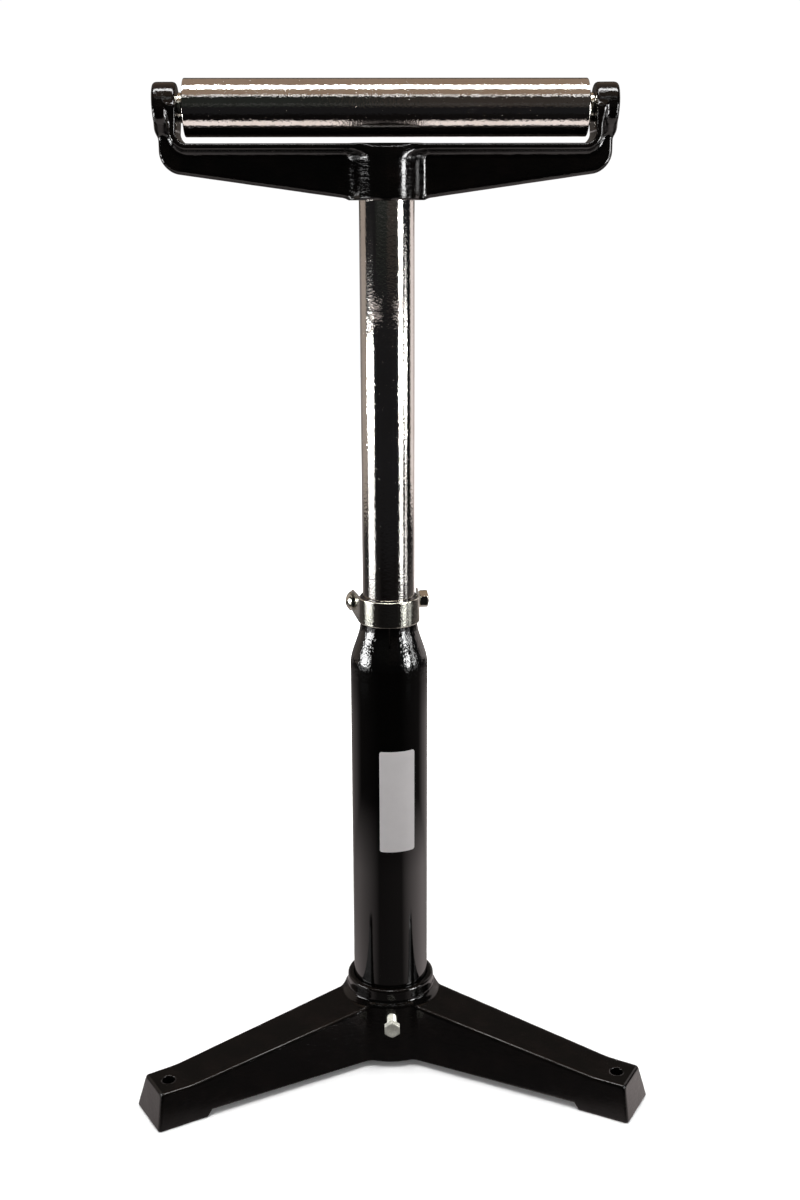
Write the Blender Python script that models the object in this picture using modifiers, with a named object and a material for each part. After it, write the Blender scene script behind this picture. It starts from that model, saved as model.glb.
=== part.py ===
"""Roller stand: a cast three-legged base, a telescoping mast with a strap clamp, and a roller head.

Units are metres and +Z is up. X runs along the roller and the rear leg points to +Y. The origin
lies on the floor, below the centre of the box that holds the whole stand. The mast stands at the
height of the photographed stand, and its slide, swivel and roller axes are the empties below.
"""

import math

import bmesh
import bpy
from mathutils import Matrix, Vector

# Clearances and fineness
SEAT_GAP = 0.0003
RUN_GAP = 0.0001
SLIDE_GAP = 0.0003
LARGE_STEPS = 40
SMALL_STEPS = 24
BEARING_STEPS = 30
ROLLER_STEPS = 48
ARC_STEPS = 6
MERGE = 0.000001
SMOOTH_ANGLE = math.radians(35.0)

# Base casting
DRAFT = math.radians(12.0)
FRONT_LEG_TURN = math.radians(60.0)
FOOT_REACH = 0.2643
FOOT_HEIGHT = 0.0350
FOOT_FLAT = 0.0323
FOOT_WIDTH = 0.0403
FOOT_PAD_LENGTH = 0.0500
PAD_STEP = 0.0060
PAD_SLANT = 0.0050
FOOT_HOLE_RADIUS = 0.0060
FOOT_HOLE_INSET = 0.0155
LEG_ROOT_WIDTH = 0.0520
LEG_ROOT_HEIGHT = 0.0600
LEG_EDGE_ROUND = 0.0018
BASE_WALL = 0.0070
HUB_RADIUS = 0.0440
HUB_HEIGHT = 0.0780
LIP_HEIGHT = 0.0120
LIP_ROUND = 0.0030
HUB_FLARE = 0.0035
SOCKET_CHAMFER = 0.0015
SOCKET_FLOOR = 0.0120
FLOOR_LEDGE = 0.0045

# Outer tube with its swaged and slit neck
OUTER_TUBE_RADIUS = 0.0375
OUTER_TUBE_WALL = 0.0030
MAST_TOP = 0.4795
NECK_WALL = 0.0023
NECK_BELOW_STRAP = 0.0005
SWAGE_LENGTH = 0.0420
SWAGE_STEPS = 6
SLIT_WIDTH = 0.0016
SLIT_LENGTH = 0.0450

# Strap clamp
STRAP_THICKNESS = 0.0019
STRAP_HEIGHT = 0.0250
STRAP_SPLAY = math.radians(4.6)
STRAP_TURN = math.radians(5.0)
EAR_RADIUS = 0.0115
EAR_DROP = 0.0012
EAR_ARC = math.radians(80.0)
EAR_TAPER_START = 0.0084
CLAMP_BOLT_RADIUS = 0.0050
BOLT_BEHIND_NECK = 0.0010
DOME_RADIUS = 0.0102
DOME_HEIGHT = 0.0056
BOLT_SQUARE = 0.0104
BOLT_SQUARE_LENGTH = 0.0030
BOLT_SQUARE_SINK = 0.0014
BOLT_END = 0.0012
BOLT_CHAMFER = 0.0008
NUT_ACROSS_FLATS = 0.0160
NUT_HEIGHT = 0.0084
HEX_FACE_SHARE = 0.97
HEX_CHAMFER = math.radians(30.0)

# Hexagon set screws of the base and the head
SET_SCREW_RADIUS = 0.0050
SET_SCREW_ACROSS_FLATS = 0.0150
SET_SCREW_HEAD = 0.0064
SET_SCREW_SHOWING = 0.0150
BASE_SCREW_HEIGHT = 0.0500

# Inner tube, its guide bush and the two circlips
INNER_TUBE_RADIUS = 0.0250
INNER_TUBE_WALL = 0.0030
MAST_EXTENSION = 0.3660
MAST_RESERVE = 0.0220
BUSH_HEIGHT = 0.0100
BUSH_CHAMFER = 0.0010
CIRCLIP_THICKNESS = 0.0018
CIRCLIP_WIDTH = 0.0040
CIRCLIP_MOUTH = math.radians(50.0)
GROOVE_DEPTH = 0.0010
TUBE_END_MARGIN = 0.0040

# Head casting
HEAD_STAND_OFF = 0.0003
BOSS_RADIUS = 0.0309
BOSS_CHAMFER = 0.0020
BOSS_HEIGHT = 0.0422
YOKE_THICKNESS = 0.0061
YOKE_WIDTH = 0.0460
YOKE_CORNER = 0.0090
YOKE_GAP = 0.0055
RIB_WIDTH = 0.0130
RIB_OUTREACH = 0.0091
RIB_CORNER = 0.0170
RIB_SLOPE = math.radians(8.5)
RIB_BOSS_DROP = 0.0030
RIB_END_DROP = 0.0020
RIB_ROUND = 0.0030
EYE_RADIUS = 0.0215
EYE_WIDTH = 0.0221
EYE_FACING = 0.0005
CAST_ROUND = 0.0020
HEAD_SCREW_DROP = 0.0180

# Axle, spacers and grub screws
AXLE_RADIUS = 0.0100
AXLE_RECESS = 0.0010
AXLE_CHAMFER = 0.0010
SPACER_RADIUS = 0.01275
GRUB_RADIUS = 0.0030
GRUB_LENGTH = 0.0100
GRUB_KEY = 0.0030
GRUB_KEY_DEPTH = 0.0030

# Roller
ROLLER_RADIUS = 0.0247
ROLLER_LENGTH = 0.3540
ROLLER_BORE = 0.0200
ROLLER_CHAMFER = 0.0010
ROLLER_END_GAP = 0.0062

# Ball bearings, one in each end of the roller
BEARING_RADIUS = 0.0210
BEARING_WIDTH = 0.0120
BEARING_INSET = 0.0015
INNER_RING_WALL = 0.0032
OUTER_RING_WALL = 0.0032
BALL_RADIUS = 0.003175
BALL_COUNT = 9
RACE_STEPS = 4
RACE_GAP = 0.00015
CAGE_RING = 0.0011
CAGE_HEIGHT = 0.0022
CAGE_CLEARANCE = 0.0004
FINGER_WIDTH = 0.0026
SHIELD_THICKNESS = 0.0006
SHIELD_INSET = 0.0003

# Colours as base colour, roughness and metallic
PAINT = ((0.010, 0.010, 0.011, 1.0), 0.22, 0.0)
ZINC = ((0.62, 0.60, 0.56, 1.0), 0.34, 1.0)
POLISHED_STEEL = ((0.55, 0.53, 0.50, 1.0), 0.14, 1.0)
BEARING_STEEL = ((0.60, 0.60, 0.61, 1.0), 0.20, 1.0)
BRIGHT_SHAFT = ((0.56, 0.56, 0.57, 1.0), 0.25, 1.0)
NYLON = ((0.72, 0.70, 0.64, 1.0), 0.55, 0.0)

# Derived places, each from the sizes above
FOOT_END = FOOT_REACH + FOOT_HEIGHT * math.tan(DRAFT)
FOOT_END_HALF_WIDTH = FOOT_WIDTH / 2 + FOOT_HEIGHT * math.tan(DRAFT)
FRONT_REACH = FOOT_END * math.cos(FRONT_LEG_TURN) + FOOT_END_HALF_WIDTH * math.sin(FRONT_LEG_TURN)
LEG_ANGLES = (math.pi / 2, 1.5 * math.pi - FRONT_LEG_TURN, 1.5 * math.pi + FRONT_LEG_TURN)
COLUMN_Y = (FRONT_REACH - FOOT_END) / 2
SOCKET_RADIUS = OUTER_TUBE_RADIUS + SEAT_GAP
TUBE_BOTTOM = SOCKET_FLOOR + SEAT_GAP
TUBE_BORE = OUTER_TUBE_RADIUS - OUTER_TUBE_WALL
NECK_BORE = INNER_TUBE_RADIUS + SLIDE_GAP
NECK_RADIUS = NECK_BORE + NECK_WALL
SWAGE_TOP = MAST_TOP - STRAP_HEIGHT - NECK_BELOW_STRAP
SWAGE_BOTTOM = SWAGE_TOP - SWAGE_LENGTH
STRAP_MIDLINE = NECK_RADIUS + SEAT_GAP + STRAP_THICKNESS / 2
BOLT_REACH = NECK_RADIUS + CLAMP_BOLT_RADIUS + BOLT_BEHIND_NECK
BOLT_Z = MAST_TOP - STRAP_HEIGHT / 2 - EAR_DROP
BOSS_BOTTOM = MAST_TOP + HEAD_STAND_OFF + MAST_EXTENSION
YOKE_UNDERSIDE = BOSS_BOTTOM + BOSS_HEIGHT
YOKE_FLOOR = YOKE_UNDERSIDE + YOKE_THICKNESS
ROLLER_Z = YOKE_FLOOR + YOKE_GAP + ROLLER_RADIUS
ARM_INSIDE = ROLLER_LENGTH / 2 + ROLLER_END_GAP
EYE_OUTSIDE = ARM_INSIDE + EYE_WIDTH
BUSH_TOP = SWAGE_BOTTOM - MAST_RESERVE - SEAT_GAP
BUSH_BOTTOM = BUSH_TOP - BUSH_HEIGHT
GROOVE_WIDTH = CIRCLIP_THICKNESS + 2 * SEAT_GAP
LOWER_GROOVE = BUSH_BOTTOM - GROOVE_WIDTH
INNER_TUBE_BOTTOM = LOWER_GROOVE - TUBE_END_MARGIN
INNER_TUBE_TOP = YOKE_UNDERSIDE - SEAT_GAP
BEARING_X = ROLLER_LENGTH / 2 - BEARING_INSET - BEARING_WIDTH / 2
INNER_RING_BORE = AXLE_RADIUS + SEAT_GAP
INNER_RING_RADIUS = INNER_RING_BORE + INNER_RING_WALL
OUTER_RING_BORE = BEARING_RADIUS - OUTER_RING_WALL
BALL_PITCH = (INNER_RING_RADIUS + OUTER_RING_BORE) / 2
RACE_RADIUS = BALL_RADIUS + RACE_GAP


def collection(name):
    """Returns a new collection of the scene."""
    made = bpy.data.collections.new(name)
    bpy.context.scene.collection.children.link(made)
    return made


def material(name, finish):
    """Returns a Principled material of the given colour, roughness and metallic value."""
    colour, roughness, metallic = finish
    made = bpy.data.materials.new(name)
    made.use_nodes = True
    shader = made.node_tree.nodes["Principled BSDF"]
    shader.inputs["Base Color"].default_value = colour
    shader.inputs["Roughness"].default_value = roughness
    shader.inputs["Metallic"].default_value = metallic
    made.diffuse_color = colour
    return made


def empty(name, location, parent=None):
    """Returns an empty that marks a joint's axis or a body's reference point, placed in the world."""
    made = bpy.data.objects.new(name, None)
    made.empty_display_size = 0.03
    made.location = Vector(location) - (parent.matrix_world.translation if parent else Vector())
    made.parent = parent
    PARTS.objects.link(made)
    bpy.context.view_layer.update()
    return made


def mesh_object(name, mesh):
    """Returns an object of the mesh in the parts collection."""
    made = bpy.data.objects.new(name, mesh)
    PARTS.objects.link(made)
    return made


def from_bmesh(name, shape):
    """Returns an object of a bmesh and frees it."""
    bmesh.ops.recalc_face_normals(shape, faces=shape.faces)
    mesh = bpy.data.meshes.new(name)
    shape.to_mesh(mesh)
    shape.free()
    return mesh_object(name, mesh)


def arc(centre, radius, start, end, steps=ARC_STEPS):
    """Returns points on an arc, both ends included, with the angles in radians."""
    turns = [start + (end - start) * step / steps for step in range(steps + 1)]
    return [(centre[0] + radius * math.cos(turn), centre[1] + radius * math.sin(turn)) for turn in turns]


def turned(name, profile, steps=LARGE_STEPS, closed=True):
    """Returns a turned solid about its local Z from (radius, height) points, down the outside first."""
    mesh = bpy.data.meshes.new(name)
    edges = [(index, index + 1) for index in range(len(profile) - 1)]
    if closed:
        edges.append((len(profile) - 1, 0))
    mesh.from_pydata([(radius, 0.0, height) for radius, height in profile], edges, [])
    made = mesh_object(name, mesh)
    screw = made.modifiers.new("Screw", "SCREW")
    screw.steps = steps
    screw.render_steps = steps
    screw.use_merge_vertices = True
    screw.merge_threshold = 10 * MERGE
    screw.use_smooth_shade = True
    return made


def plate(name, outline, thickness):
    """Returns a flat plate about its local XY plane, from a closed outline."""
    curve = bpy.data.curves.new(name, "CURVE")
    curve.dimensions = "2D"
    curve.fill_mode = "BOTH"
    curve.extrude = thickness / 2
    spline = curve.splines.new("POLY")
    spline.points.add(len(outline) - 1)
    for point, (x, y) in zip(spline.points, outline):
        point.co = (x, y, 0.0, 1.0)
    spline.use_cyclic_u = True
    drawn = bpy.data.objects.new(name + "_outline", curve)
    PARTS.objects.link(drawn)
    evaluated = drawn.evaluated_get(bpy.context.evaluated_depsgraph_get())
    mesh = bpy.data.meshes.new_from_object(evaluated)
    bpy.data.objects.remove(drawn)
    shape = bmesh.new()
    shape.from_mesh(mesh)
    bmesh.ops.remove_doubles(shape, verts=shape.verts, dist=MERGE)
    bmesh.ops.dissolve_limit(shape, angle_limit=0.001, verts=shape.verts, edges=shape.edges)
    bpy.data.meshes.remove(mesh)
    return from_bmesh(name, shape)


def prism(name, sides, radius, height, turn=0.0):
    """Returns an upright prism or cylinder with its base on the local origin."""
    shape = bmesh.new()
    place = Matrix.Translation((0, 0, height / 2)) @ Matrix.Rotation(turn, 4, "Z")
    bmesh.ops.create_cone(
        shape, cap_ends=True, segments=sides, radius1=radius, radius2=radius, depth=height, matrix=place
    )
    return from_bmesh(name, shape)


def drill(name, radius, depth, sides=SMALL_STEPS):
    """Returns a round cutter, turned half a side so that its edges meet none of a turned shape's."""
    return prism(name, sides, radius, depth, math.pi / sides)


def block(name, low, high):
    """Returns a box between two corners."""
    shape = bmesh.new()
    size = Vector(high) - Vector(low)
    middle = (Vector(high) + Vector(low)) / 2
    bmesh.ops.create_cube(shape, size=1.0, matrix=Matrix.Translation(middle) @ Matrix.Diagonal((*size, 1)))
    return from_bmesh(name, shape)


def set_transform(target, matrix):
    """Places a shape in the world and returns it."""
    target.matrix_world = matrix
    bpy.context.view_layer.update()
    return target


def join_shape(target, other, operation):
    """Adds, cuts or intersects another shape, which is put away with the cutters."""
    step = target.modifiers.new(operation.title(), "BOOLEAN")
    step.operation = operation
    step.solver = "EXACT"
    step.object = other
    PARTS.objects.unlink(other)
    CUTTERS.objects.link(other)
    other.hide_render = True
    other.display_type = "WIRE"
    return target


def rounded(target, width, segments=2, angle=30.0):
    """Rounds the sharp edges of a shape."""
    bevel = target.modifiers.new("Bevel", "BEVEL")
    bevel.width = width
    bevel.segments = segments
    bevel.limit_method = "ANGLE"
    bevel.angle_limit = math.radians(angle)
    return target


def baked(target):
    """Returns the shape as a plain mesh object, so that its origin can be set."""
    bpy.context.view_layer.update()
    evaluated = target.evaluated_get(bpy.context.evaluated_depsgraph_get())
    mesh = bpy.data.meshes.new_from_object(evaluated)
    mesh.transform(target.matrix_world)
    name = target.name
    tools = [step.object for step in target.modifiers if step.type == "BOOLEAN"]
    bpy.data.objects.remove(target)
    for tool in tools:
        remove_tree(tool)
    made = mesh_object(name, mesh)
    made.name = name
    return made


def remove_tree(tool):
    """Removes a cutter and the cutters that it was made with."""
    inner = [step.object for step in tool.modifiers if step.type == "BOOLEAN"]
    bpy.data.objects.remove(tool)
    for other in inner:
        remove_tree(other)


def finish_part(target, look, parent):
    """Gives a world-space shape its material, smooth shading and its parent's origin."""
    made = baked(target)
    made.data.materials.clear()
    made.data.materials.append(look)
    made.data.shade_smooth()
    made.data.set_sharp_from_angle(angle=SMOOTH_ANGLE)
    made.data.transform(Matrix.Translation(-parent.matrix_world.translation))
    made.parent = parent
    return made


def along_x(x, y, z):
    """Returns the placement that turns local +Z to world +X."""
    return Matrix.Translation((x, y, z)) @ Matrix.Rotation(math.radians(90), 4, "Y")


def along_minus_y(x, y, z):
    """Returns the placement that turns local +Z to world -Y."""
    return Matrix.Translation((x, y, z)) @ Matrix.Rotation(math.radians(90), 4, "X")


def along_plus_y(x, y, z):
    """Returns the placement that turns local +Z to world +Y."""
    return Matrix.Translation((x, y, z)) @ Matrix.Rotation(math.radians(-90), 4, "X")


def leg_top(reach):
    """Returns the height of a leg's top at a distance from the column axis."""
    kink = FOOT_REACH - FOOT_FLAT
    slope = (LEG_ROOT_HEIGHT - FOOT_HEIGHT) / (kink - HUB_RADIUS)
    return FOOT_HEIGHT + max(0.0, kink - reach) * slope


def leg_half_width(reach, height):
    """Returns half a leg's width, which grows towards the hub and, by the draft, towards the floor."""
    share = (FOOT_REACH - reach) / (FOOT_REACH - HUB_RADIUS)
    top = FOOT_WIDTH + (LEG_ROOT_WIDTH - FOOT_WIDTH) * max(0.0, share)
    return top / 2 + (leg_top(reach) - height) * math.tan(DRAFT)


def leg_block(name, outline, inset, round_off):
    """Returns a drafted leg along +X from its side view, or with an inset the hollow inside it."""
    shape = bmesh.new()
    side = shape.faces.new([shape.verts.new((reach, -1.0, height)) for reach, height in outline])
    wall = bmesh.ops.extrude_face_region(shape, geom=[side])
    moved = [item for item in wall["geom"] if isinstance(item, bmesh.types.BMVert)]
    bmesh.ops.translate(shape, verts=moved, vec=(0.0, 2.0, 0.0))
    kink = FOOT_REACH - FOOT_FLAT
    parts = shape.verts[:] + shape.edges[:] + shape.faces[:]
    bmesh.ops.bisect_plane(shape, geom=parts, dist=MERGE, plane_co=(kink, 0, 0), plane_no=(1, 0, 0))
    for vertex in shape.verts:
        half = leg_half_width(vertex.co.x, vertex.co.z) - inset
        vertex.co.y = math.copysign(half, vertex.co.y)
    if round_off:
        start = min(vertex.co.x for vertex in shape.verts)
        bmesh.ops.recalc_face_normals(shape, faces=shape.faces)
        edges = [
            edge for edge in shape.edges
            if edge.calc_face_angle() > math.radians(30)
            and max(vertex.co.z for vertex in edge.verts) > PAD_STEP + LEG_EDGE_ROUND
            and max(vertex.co.x for vertex in edge.verts) > start + LEG_EDGE_ROUND
        ]
        bmesh.ops.bevel(shape, geom=edges, offset=round_off, segments=2, profile=0.5, affect="EDGES")
    return from_bmesh(name, shape)


def leg_outline():
    """Returns the side view of a leg from inside the hub to the end of the foot."""
    start = SOCKET_RADIUS + (HUB_RADIUS - SOCKET_RADIUS) / 2
    pad_start = FOOT_END - FOOT_PAD_LENGTH
    return [
        (start, PAD_STEP),
        (pad_start - PAD_SLANT, PAD_STEP),
        (pad_start, 0.0),
        (FOOT_END, 0.0),
        (FOOT_REACH, FOOT_HEIGHT),
        (FOOT_REACH - FOOT_FLAT, FOOT_HEIGHT),
        (start, leg_top(start)),
    ]


def hollow_outline():
    """Returns the side view of the hollow on a leg's underside, open to the floor."""
    start = HUB_RADIUS + BASE_WALL
    end = FOOT_END - FOOT_PAD_LENGTH - PAD_SLANT - BASE_WALL
    return [
        (start, -PAD_STEP),
        (end, -PAD_STEP),
        (end, leg_top(end) - BASE_WALL),
        (start, leg_top(start) - BASE_WALL),
    ]


def hub_profile():
    """Returns the turned hub: the lip, the flare to the drafted skirt, the floor and the socket."""
    lip_foot = HUB_HEIGHT - LIP_HEIGHT
    skirt = HUB_RADIUS + HUB_FLARE
    skirt_top = lip_foot - HUB_FLARE
    lip = arc((HUB_RADIUS - LIP_ROUND, HUB_HEIGHT - LIP_ROUND), LIP_ROUND, math.radians(90), 0.0, 4)
    flare = arc((skirt, lip_foot), HUB_FLARE, math.radians(180), math.radians(270), 3)
    return (
        [(SOCKET_RADIUS + SOCKET_CHAMFER, HUB_HEIGHT)]
        + lip
        + flare
        + [(skirt + (skirt_top - PAD_STEP) * math.tan(DRAFT), PAD_STEP)]
        + [(SOCKET_RADIUS - FLOOR_LEDGE, PAD_STEP), (SOCKET_RADIUS - FLOOR_LEDGE, SOCKET_FLOOR)]
        + [(SOCKET_RADIUS, SOCKET_FLOOR), (SOCKET_RADIUS, HUB_HEIGHT - SOCKET_CHAMFER)]
    )


def base_casting():
    """Returns the base: the hub, three hollow drafted legs and the bolt holes in their feet."""
    base = turned("base_casting", hub_profile())
    set_transform(base, Matrix.Translation((0, COLUMN_Y, 0)))
    for number, angle in enumerate(LEG_ANGLES):
        place = Matrix.Translation((0, COLUMN_Y, 0)) @ Matrix.Rotation(angle, 4, "Z")
        leg = leg_block(f"leg_{number}", leg_outline(), 0.0, LEG_EDGE_ROUND)
        join_shape(base, set_transform(leg, place), "UNION")
    for number, angle in enumerate(LEG_ANGLES):
        place = Matrix.Translation((0, COLUMN_Y, 0)) @ Matrix.Rotation(angle, 4, "Z")
        hollow = leg_block(f"leg_hollow_{number}", hollow_outline(), BASE_WALL, 0.0)
        join_shape(base, set_transform(hollow, place), "DIFFERENCE")
        hole = drill(f"foot_hole_{number}", FOOT_HOLE_RADIUS, 2 * FOOT_HEIGHT)
        lower = Matrix.Translation((FOOT_REACH - FOOT_HOLE_INSET, 0, -FOOT_HEIGHT / 2))
        join_shape(base, set_transform(hole, place @ lower), "DIFFERENCE")
    bore = drill("base_screw_bore", SET_SCREW_RADIUS + SEAT_GAP, 2 * HUB_RADIUS)
    join_shape(base, set_transform(bore, along_minus_y(0, COLUMN_Y, BASE_SCREW_HEIGHT)), "DIFFERENCE")
    return base


def swage(wide, narrow):
    """Returns the side of the swage from its foot to its top, between two radii, eased at both ends."""
    shares = [step / SWAGE_STEPS for step in range(SWAGE_STEPS + 1)]
    eased = [share * share * (3 - 2 * share) for share in shares]
    return [
        (wide + (narrow - wide) * closed, SWAGE_BOTTOM + SWAGE_LENGTH * share)
        for share, closed in zip(shares, eased)
    ]


def outer_tube():
    """Returns the outer tube with its swaged neck, slit front and back."""
    profile = [(NECK_RADIUS, MAST_TOP)] + swage(OUTER_TUBE_RADIUS, NECK_RADIUS)[::-1]
    profile += [(OUTER_TUBE_RADIUS, TUBE_BOTTOM), (TUBE_BORE, TUBE_BOTTOM)]
    profile += swage(TUBE_BORE, NECK_BORE) + [(NECK_BORE, MAST_TOP)]
    tube = turned("outer_tube", profile)
    set_transform(tube, Matrix.Translation((0, COLUMN_Y, 0)))
    reach = 2 * OUTER_TUBE_RADIUS
    low = (-SLIT_WIDTH / 2, COLUMN_Y - reach, MAST_TOP - SLIT_LENGTH)
    high = (SLIT_WIDTH / 2, COLUMN_Y + reach, MAST_TOP + SLIT_LENGTH)
    return join_shape(tube, block("neck_slit", low, high), "DIFFERENCE")


def strap_edge(radius, length):
    """Returns one edge of the strap in plan: a splayed ear, round the front, and the other ear."""
    splay = STRAP_SPLAY
    round_front = arc((0, 0), radius, math.pi + splay, 2 * math.pi - splay, 4 * ARC_STEPS)
    run = (length + radius * math.sin(splay)) / math.cos(splay)
    left, right = round_front[0], round_front[-1]
    back_left = (left[0] - run * math.sin(splay), left[1] + run * math.cos(splay))
    back_right = (right[0] + run * math.sin(splay), right[1] + run * math.cos(splay))
    return [back_left] + round_front + [back_right]


def strap_ear_outside(reach):
    """Returns how far an ear's outer face is from the strap's middle plane, at a reach behind the neck."""
    edge = STRAP_MIDLINE + STRAP_THICKNESS / 2
    return edge * math.cos(STRAP_SPLAY) + (reach + edge * math.sin(STRAP_SPLAY)) * math.tan(STRAP_SPLAY)


def clamp_place(height):
    """Returns the placement of the clamp's own frame, turned a little about the column."""
    return Matrix.Translation((0, COLUMN_Y, height)) @ Matrix.Rotation(STRAP_TURN, 4, "Z")


def clamp_strap():
    """Returns the bent strap: round the neck, with two ears that run back past it to the bolt."""
    reach = BOLT_REACH + EAR_RADIUS
    outer = strap_edge(STRAP_MIDLINE + STRAP_THICKNESS / 2, reach)
    inner = strap_edge(STRAP_MIDLINE - STRAP_THICKNESS / 2, reach)
    strap = plate("clamp_strap", outer + inner[::-1], STRAP_HEIGHT)
    set_transform(strap, clamp_place(MAST_TOP - STRAP_HEIGHT / 2))
    half = STRAP_HEIGHT / 2
    front = -2 * STRAP_MIDLINE
    ear = arc((BOLT_REACH, -EAR_DROP), EAR_RADIUS, EAR_ARC, -EAR_ARC, 2 * ARC_STEPS)
    side_view = [(front, half + SEAT_GAP), (EAR_TAPER_START, half + SEAT_GAP)] + ear
    side_view += [(EAR_TAPER_START, -half - SEAT_GAP), (front, -half - SEAT_GAP)]
    trim = plate("strap_side_view", side_view, 4 * STRAP_MIDLINE)
    lay = Matrix.Rotation(math.radians(90), 4, "Z") @ Matrix.Rotation(math.radians(90), 4, "X")
    join_shape(strap, set_transform(trim, clamp_place(MAST_TOP - half) @ lay), "INTERSECT")
    hole = drill("strap_nut_hole", CLAMP_BOLT_RADIUS + SEAT_GAP, 2 * STRAP_MIDLINE)
    in_clamp = Matrix.Translation((0, BOLT_REACH, 0)) @ Matrix.Rotation(math.radians(90), 4, "Y")
    join_shape(strap, set_transform(hole, clamp_place(BOLT_Z) @ in_clamp), "DIFFERENCE")
    side = BOLT_SQUARE / 2 + SEAT_GAP
    low = (-2 * STRAP_MIDLINE, BOLT_REACH - side, -side)
    square = block("strap_square_hole", low, (0.0, BOLT_REACH + side, side))
    return join_shape(strap, set_transform(square, clamp_place(BOLT_Z)), "DIFFERENCE")


def bolt_seat():
    """Returns the distance of the bolt head's and the nut's seats from the clamp's middle plane."""
    return strap_ear_outside(BOLT_REACH + DOME_RADIUS) + SEAT_GAP


def clamp_bolt():
    """Returns the round-head bolt with its square neck, which crosses behind the neck of the tube."""
    seat = bolt_seat()
    end = seat + NUT_HEIGHT + BOLT_END
    cap = (DOME_RADIUS ** 2 + DOME_HEIGHT ** 2) / (2 * DOME_HEIGHT)
    reach = math.asin(DOME_RADIUS / cap)
    dome = arc((0, seat + DOME_HEIGHT - cap), cap, math.pi / 2, math.pi / 2 - reach, ARC_STEPS)
    dome[0] = (0.0, seat + DOME_HEIGHT)
    profile = dome + [(CLAMP_BOLT_RADIUS, seat), (CLAMP_BOLT_RADIUS, -end + BOLT_CHAMFER)]
    profile += [(CLAMP_BOLT_RADIUS - BOLT_CHAMFER, -end), (0.0, -end)]
    bolt = turned("clamp_bolt", profile, SMALL_STEPS, closed=False)
    frame = clamp_place(BOLT_Z) @ Matrix.Translation((0, BOLT_REACH, 0))
    half_step = Matrix.Rotation(math.pi / SMALL_STEPS, 4, "Z")
    set_transform(bolt, frame @ Matrix.Rotation(math.radians(-90), 4, "Y") @ half_step)
    side = BOLT_SQUARE / 2
    low = (-seat - BOLT_SQUARE_SINK, -side, -side)
    neck = block("bolt_square", low, (-seat + BOLT_SQUARE_LENGTH, side, side))
    return join_shape(bolt, set_transform(neck, frame), "UNION")


def hexagon(name, across_flats, height):
    """Returns a hexagon prism about local +Z with both ends chamfered as on a turned bar."""
    corner = across_flats / math.sqrt(3)
    face = HEX_FACE_SHARE * across_flats / 2
    drop = (corner - face) * math.tan(HEX_CHAMFER)
    body = prism(name, 6, corner, 3 * height)
    set_transform(body, Matrix.Translation((0, 0, -height)))
    profile = [(0.0, height), (face, height), (corner + RUN_GAP, height - drop)]
    profile += [(corner + RUN_GAP, drop), (face, 0.0), (0.0, 0.0)]
    chamfer = turned(name + "_chamfer", profile, SMALL_STEPS, closed=False)
    set_transform(chamfer, Matrix.Rotation(math.pi / SMALL_STEPS, 4, "Z"))
    return join_shape(body, chamfer, "INTERSECT")


def clamp_nut():
    """Returns the hexagon nut with its bore, one corner upwards."""
    nut = hexagon("clamp_nut", NUT_ACROSS_FLATS, NUT_HEIGHT)
    bore = prism("nut_bore", SMALL_STEPS, CLAMP_BOLT_RADIUS + RUN_GAP, 3 * NUT_HEIGHT)
    join_shape(nut, set_transform(bore, Matrix.Translation((0, 0, -NUT_HEIGHT))), "DIFFERENCE")
    nut = baked(nut)
    frame = clamp_place(BOLT_Z) @ Matrix.Translation((bolt_seat(), BOLT_REACH, 0))
    return set_transform(nut, frame @ Matrix.Rotation(math.radians(90), 4, "Y"))


def set_screw(name, tip, wall, place):
    """Returns a hexagon set screw along local +Z, from its tip's radius to its head outside the wall."""
    length = wall - tip + SET_SCREW_SHOWING
    profile = [(0.0, length + SET_SCREW_HEAD / 2), (SET_SCREW_RADIUS, length + SET_SCREW_HEAD / 2)]
    profile += [(SET_SCREW_RADIUS, BOLT_CHAMFER), (SET_SCREW_RADIUS - BOLT_CHAMFER, 0.0), (0.0, 0.0)]
    screw = turned(name, profile, SMALL_STEPS, closed=False)
    head = baked(hexagon(name + "_head", SET_SCREW_ACROSS_FLATS, SET_SCREW_HEAD))
    join_shape(screw, set_transform(head, Matrix.Translation((0, 0, length))), "UNION")
    screw = baked(screw)
    return set_transform(screw, place @ Matrix.Translation((0, 0, tip)))


def base_set_screw():
    """Returns the screw through the front of the hub that holds the outer tube."""
    skirt_top = HUB_HEIGHT - LIP_HEIGHT - HUB_FLARE
    wall = HUB_RADIUS + HUB_FLARE + (skirt_top - BASE_SCREW_HEIGHT) * math.tan(DRAFT)
    place = along_minus_y(0, COLUMN_Y, BASE_SCREW_HEIGHT)
    return set_screw("base_set_screw", OUTER_TUBE_RADIUS + SEAT_GAP, wall, place)


def head_set_screw():
    """Returns the screw through the back of the boss that holds the head on the inner tube."""
    place = along_plus_y(0, COLUMN_Y, YOKE_UNDERSIDE - HEAD_SCREW_DROP)
    return set_screw("head_set_screw", INNER_TUBE_RADIUS + SEAT_GAP, BOSS_RADIUS, place)


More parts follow.
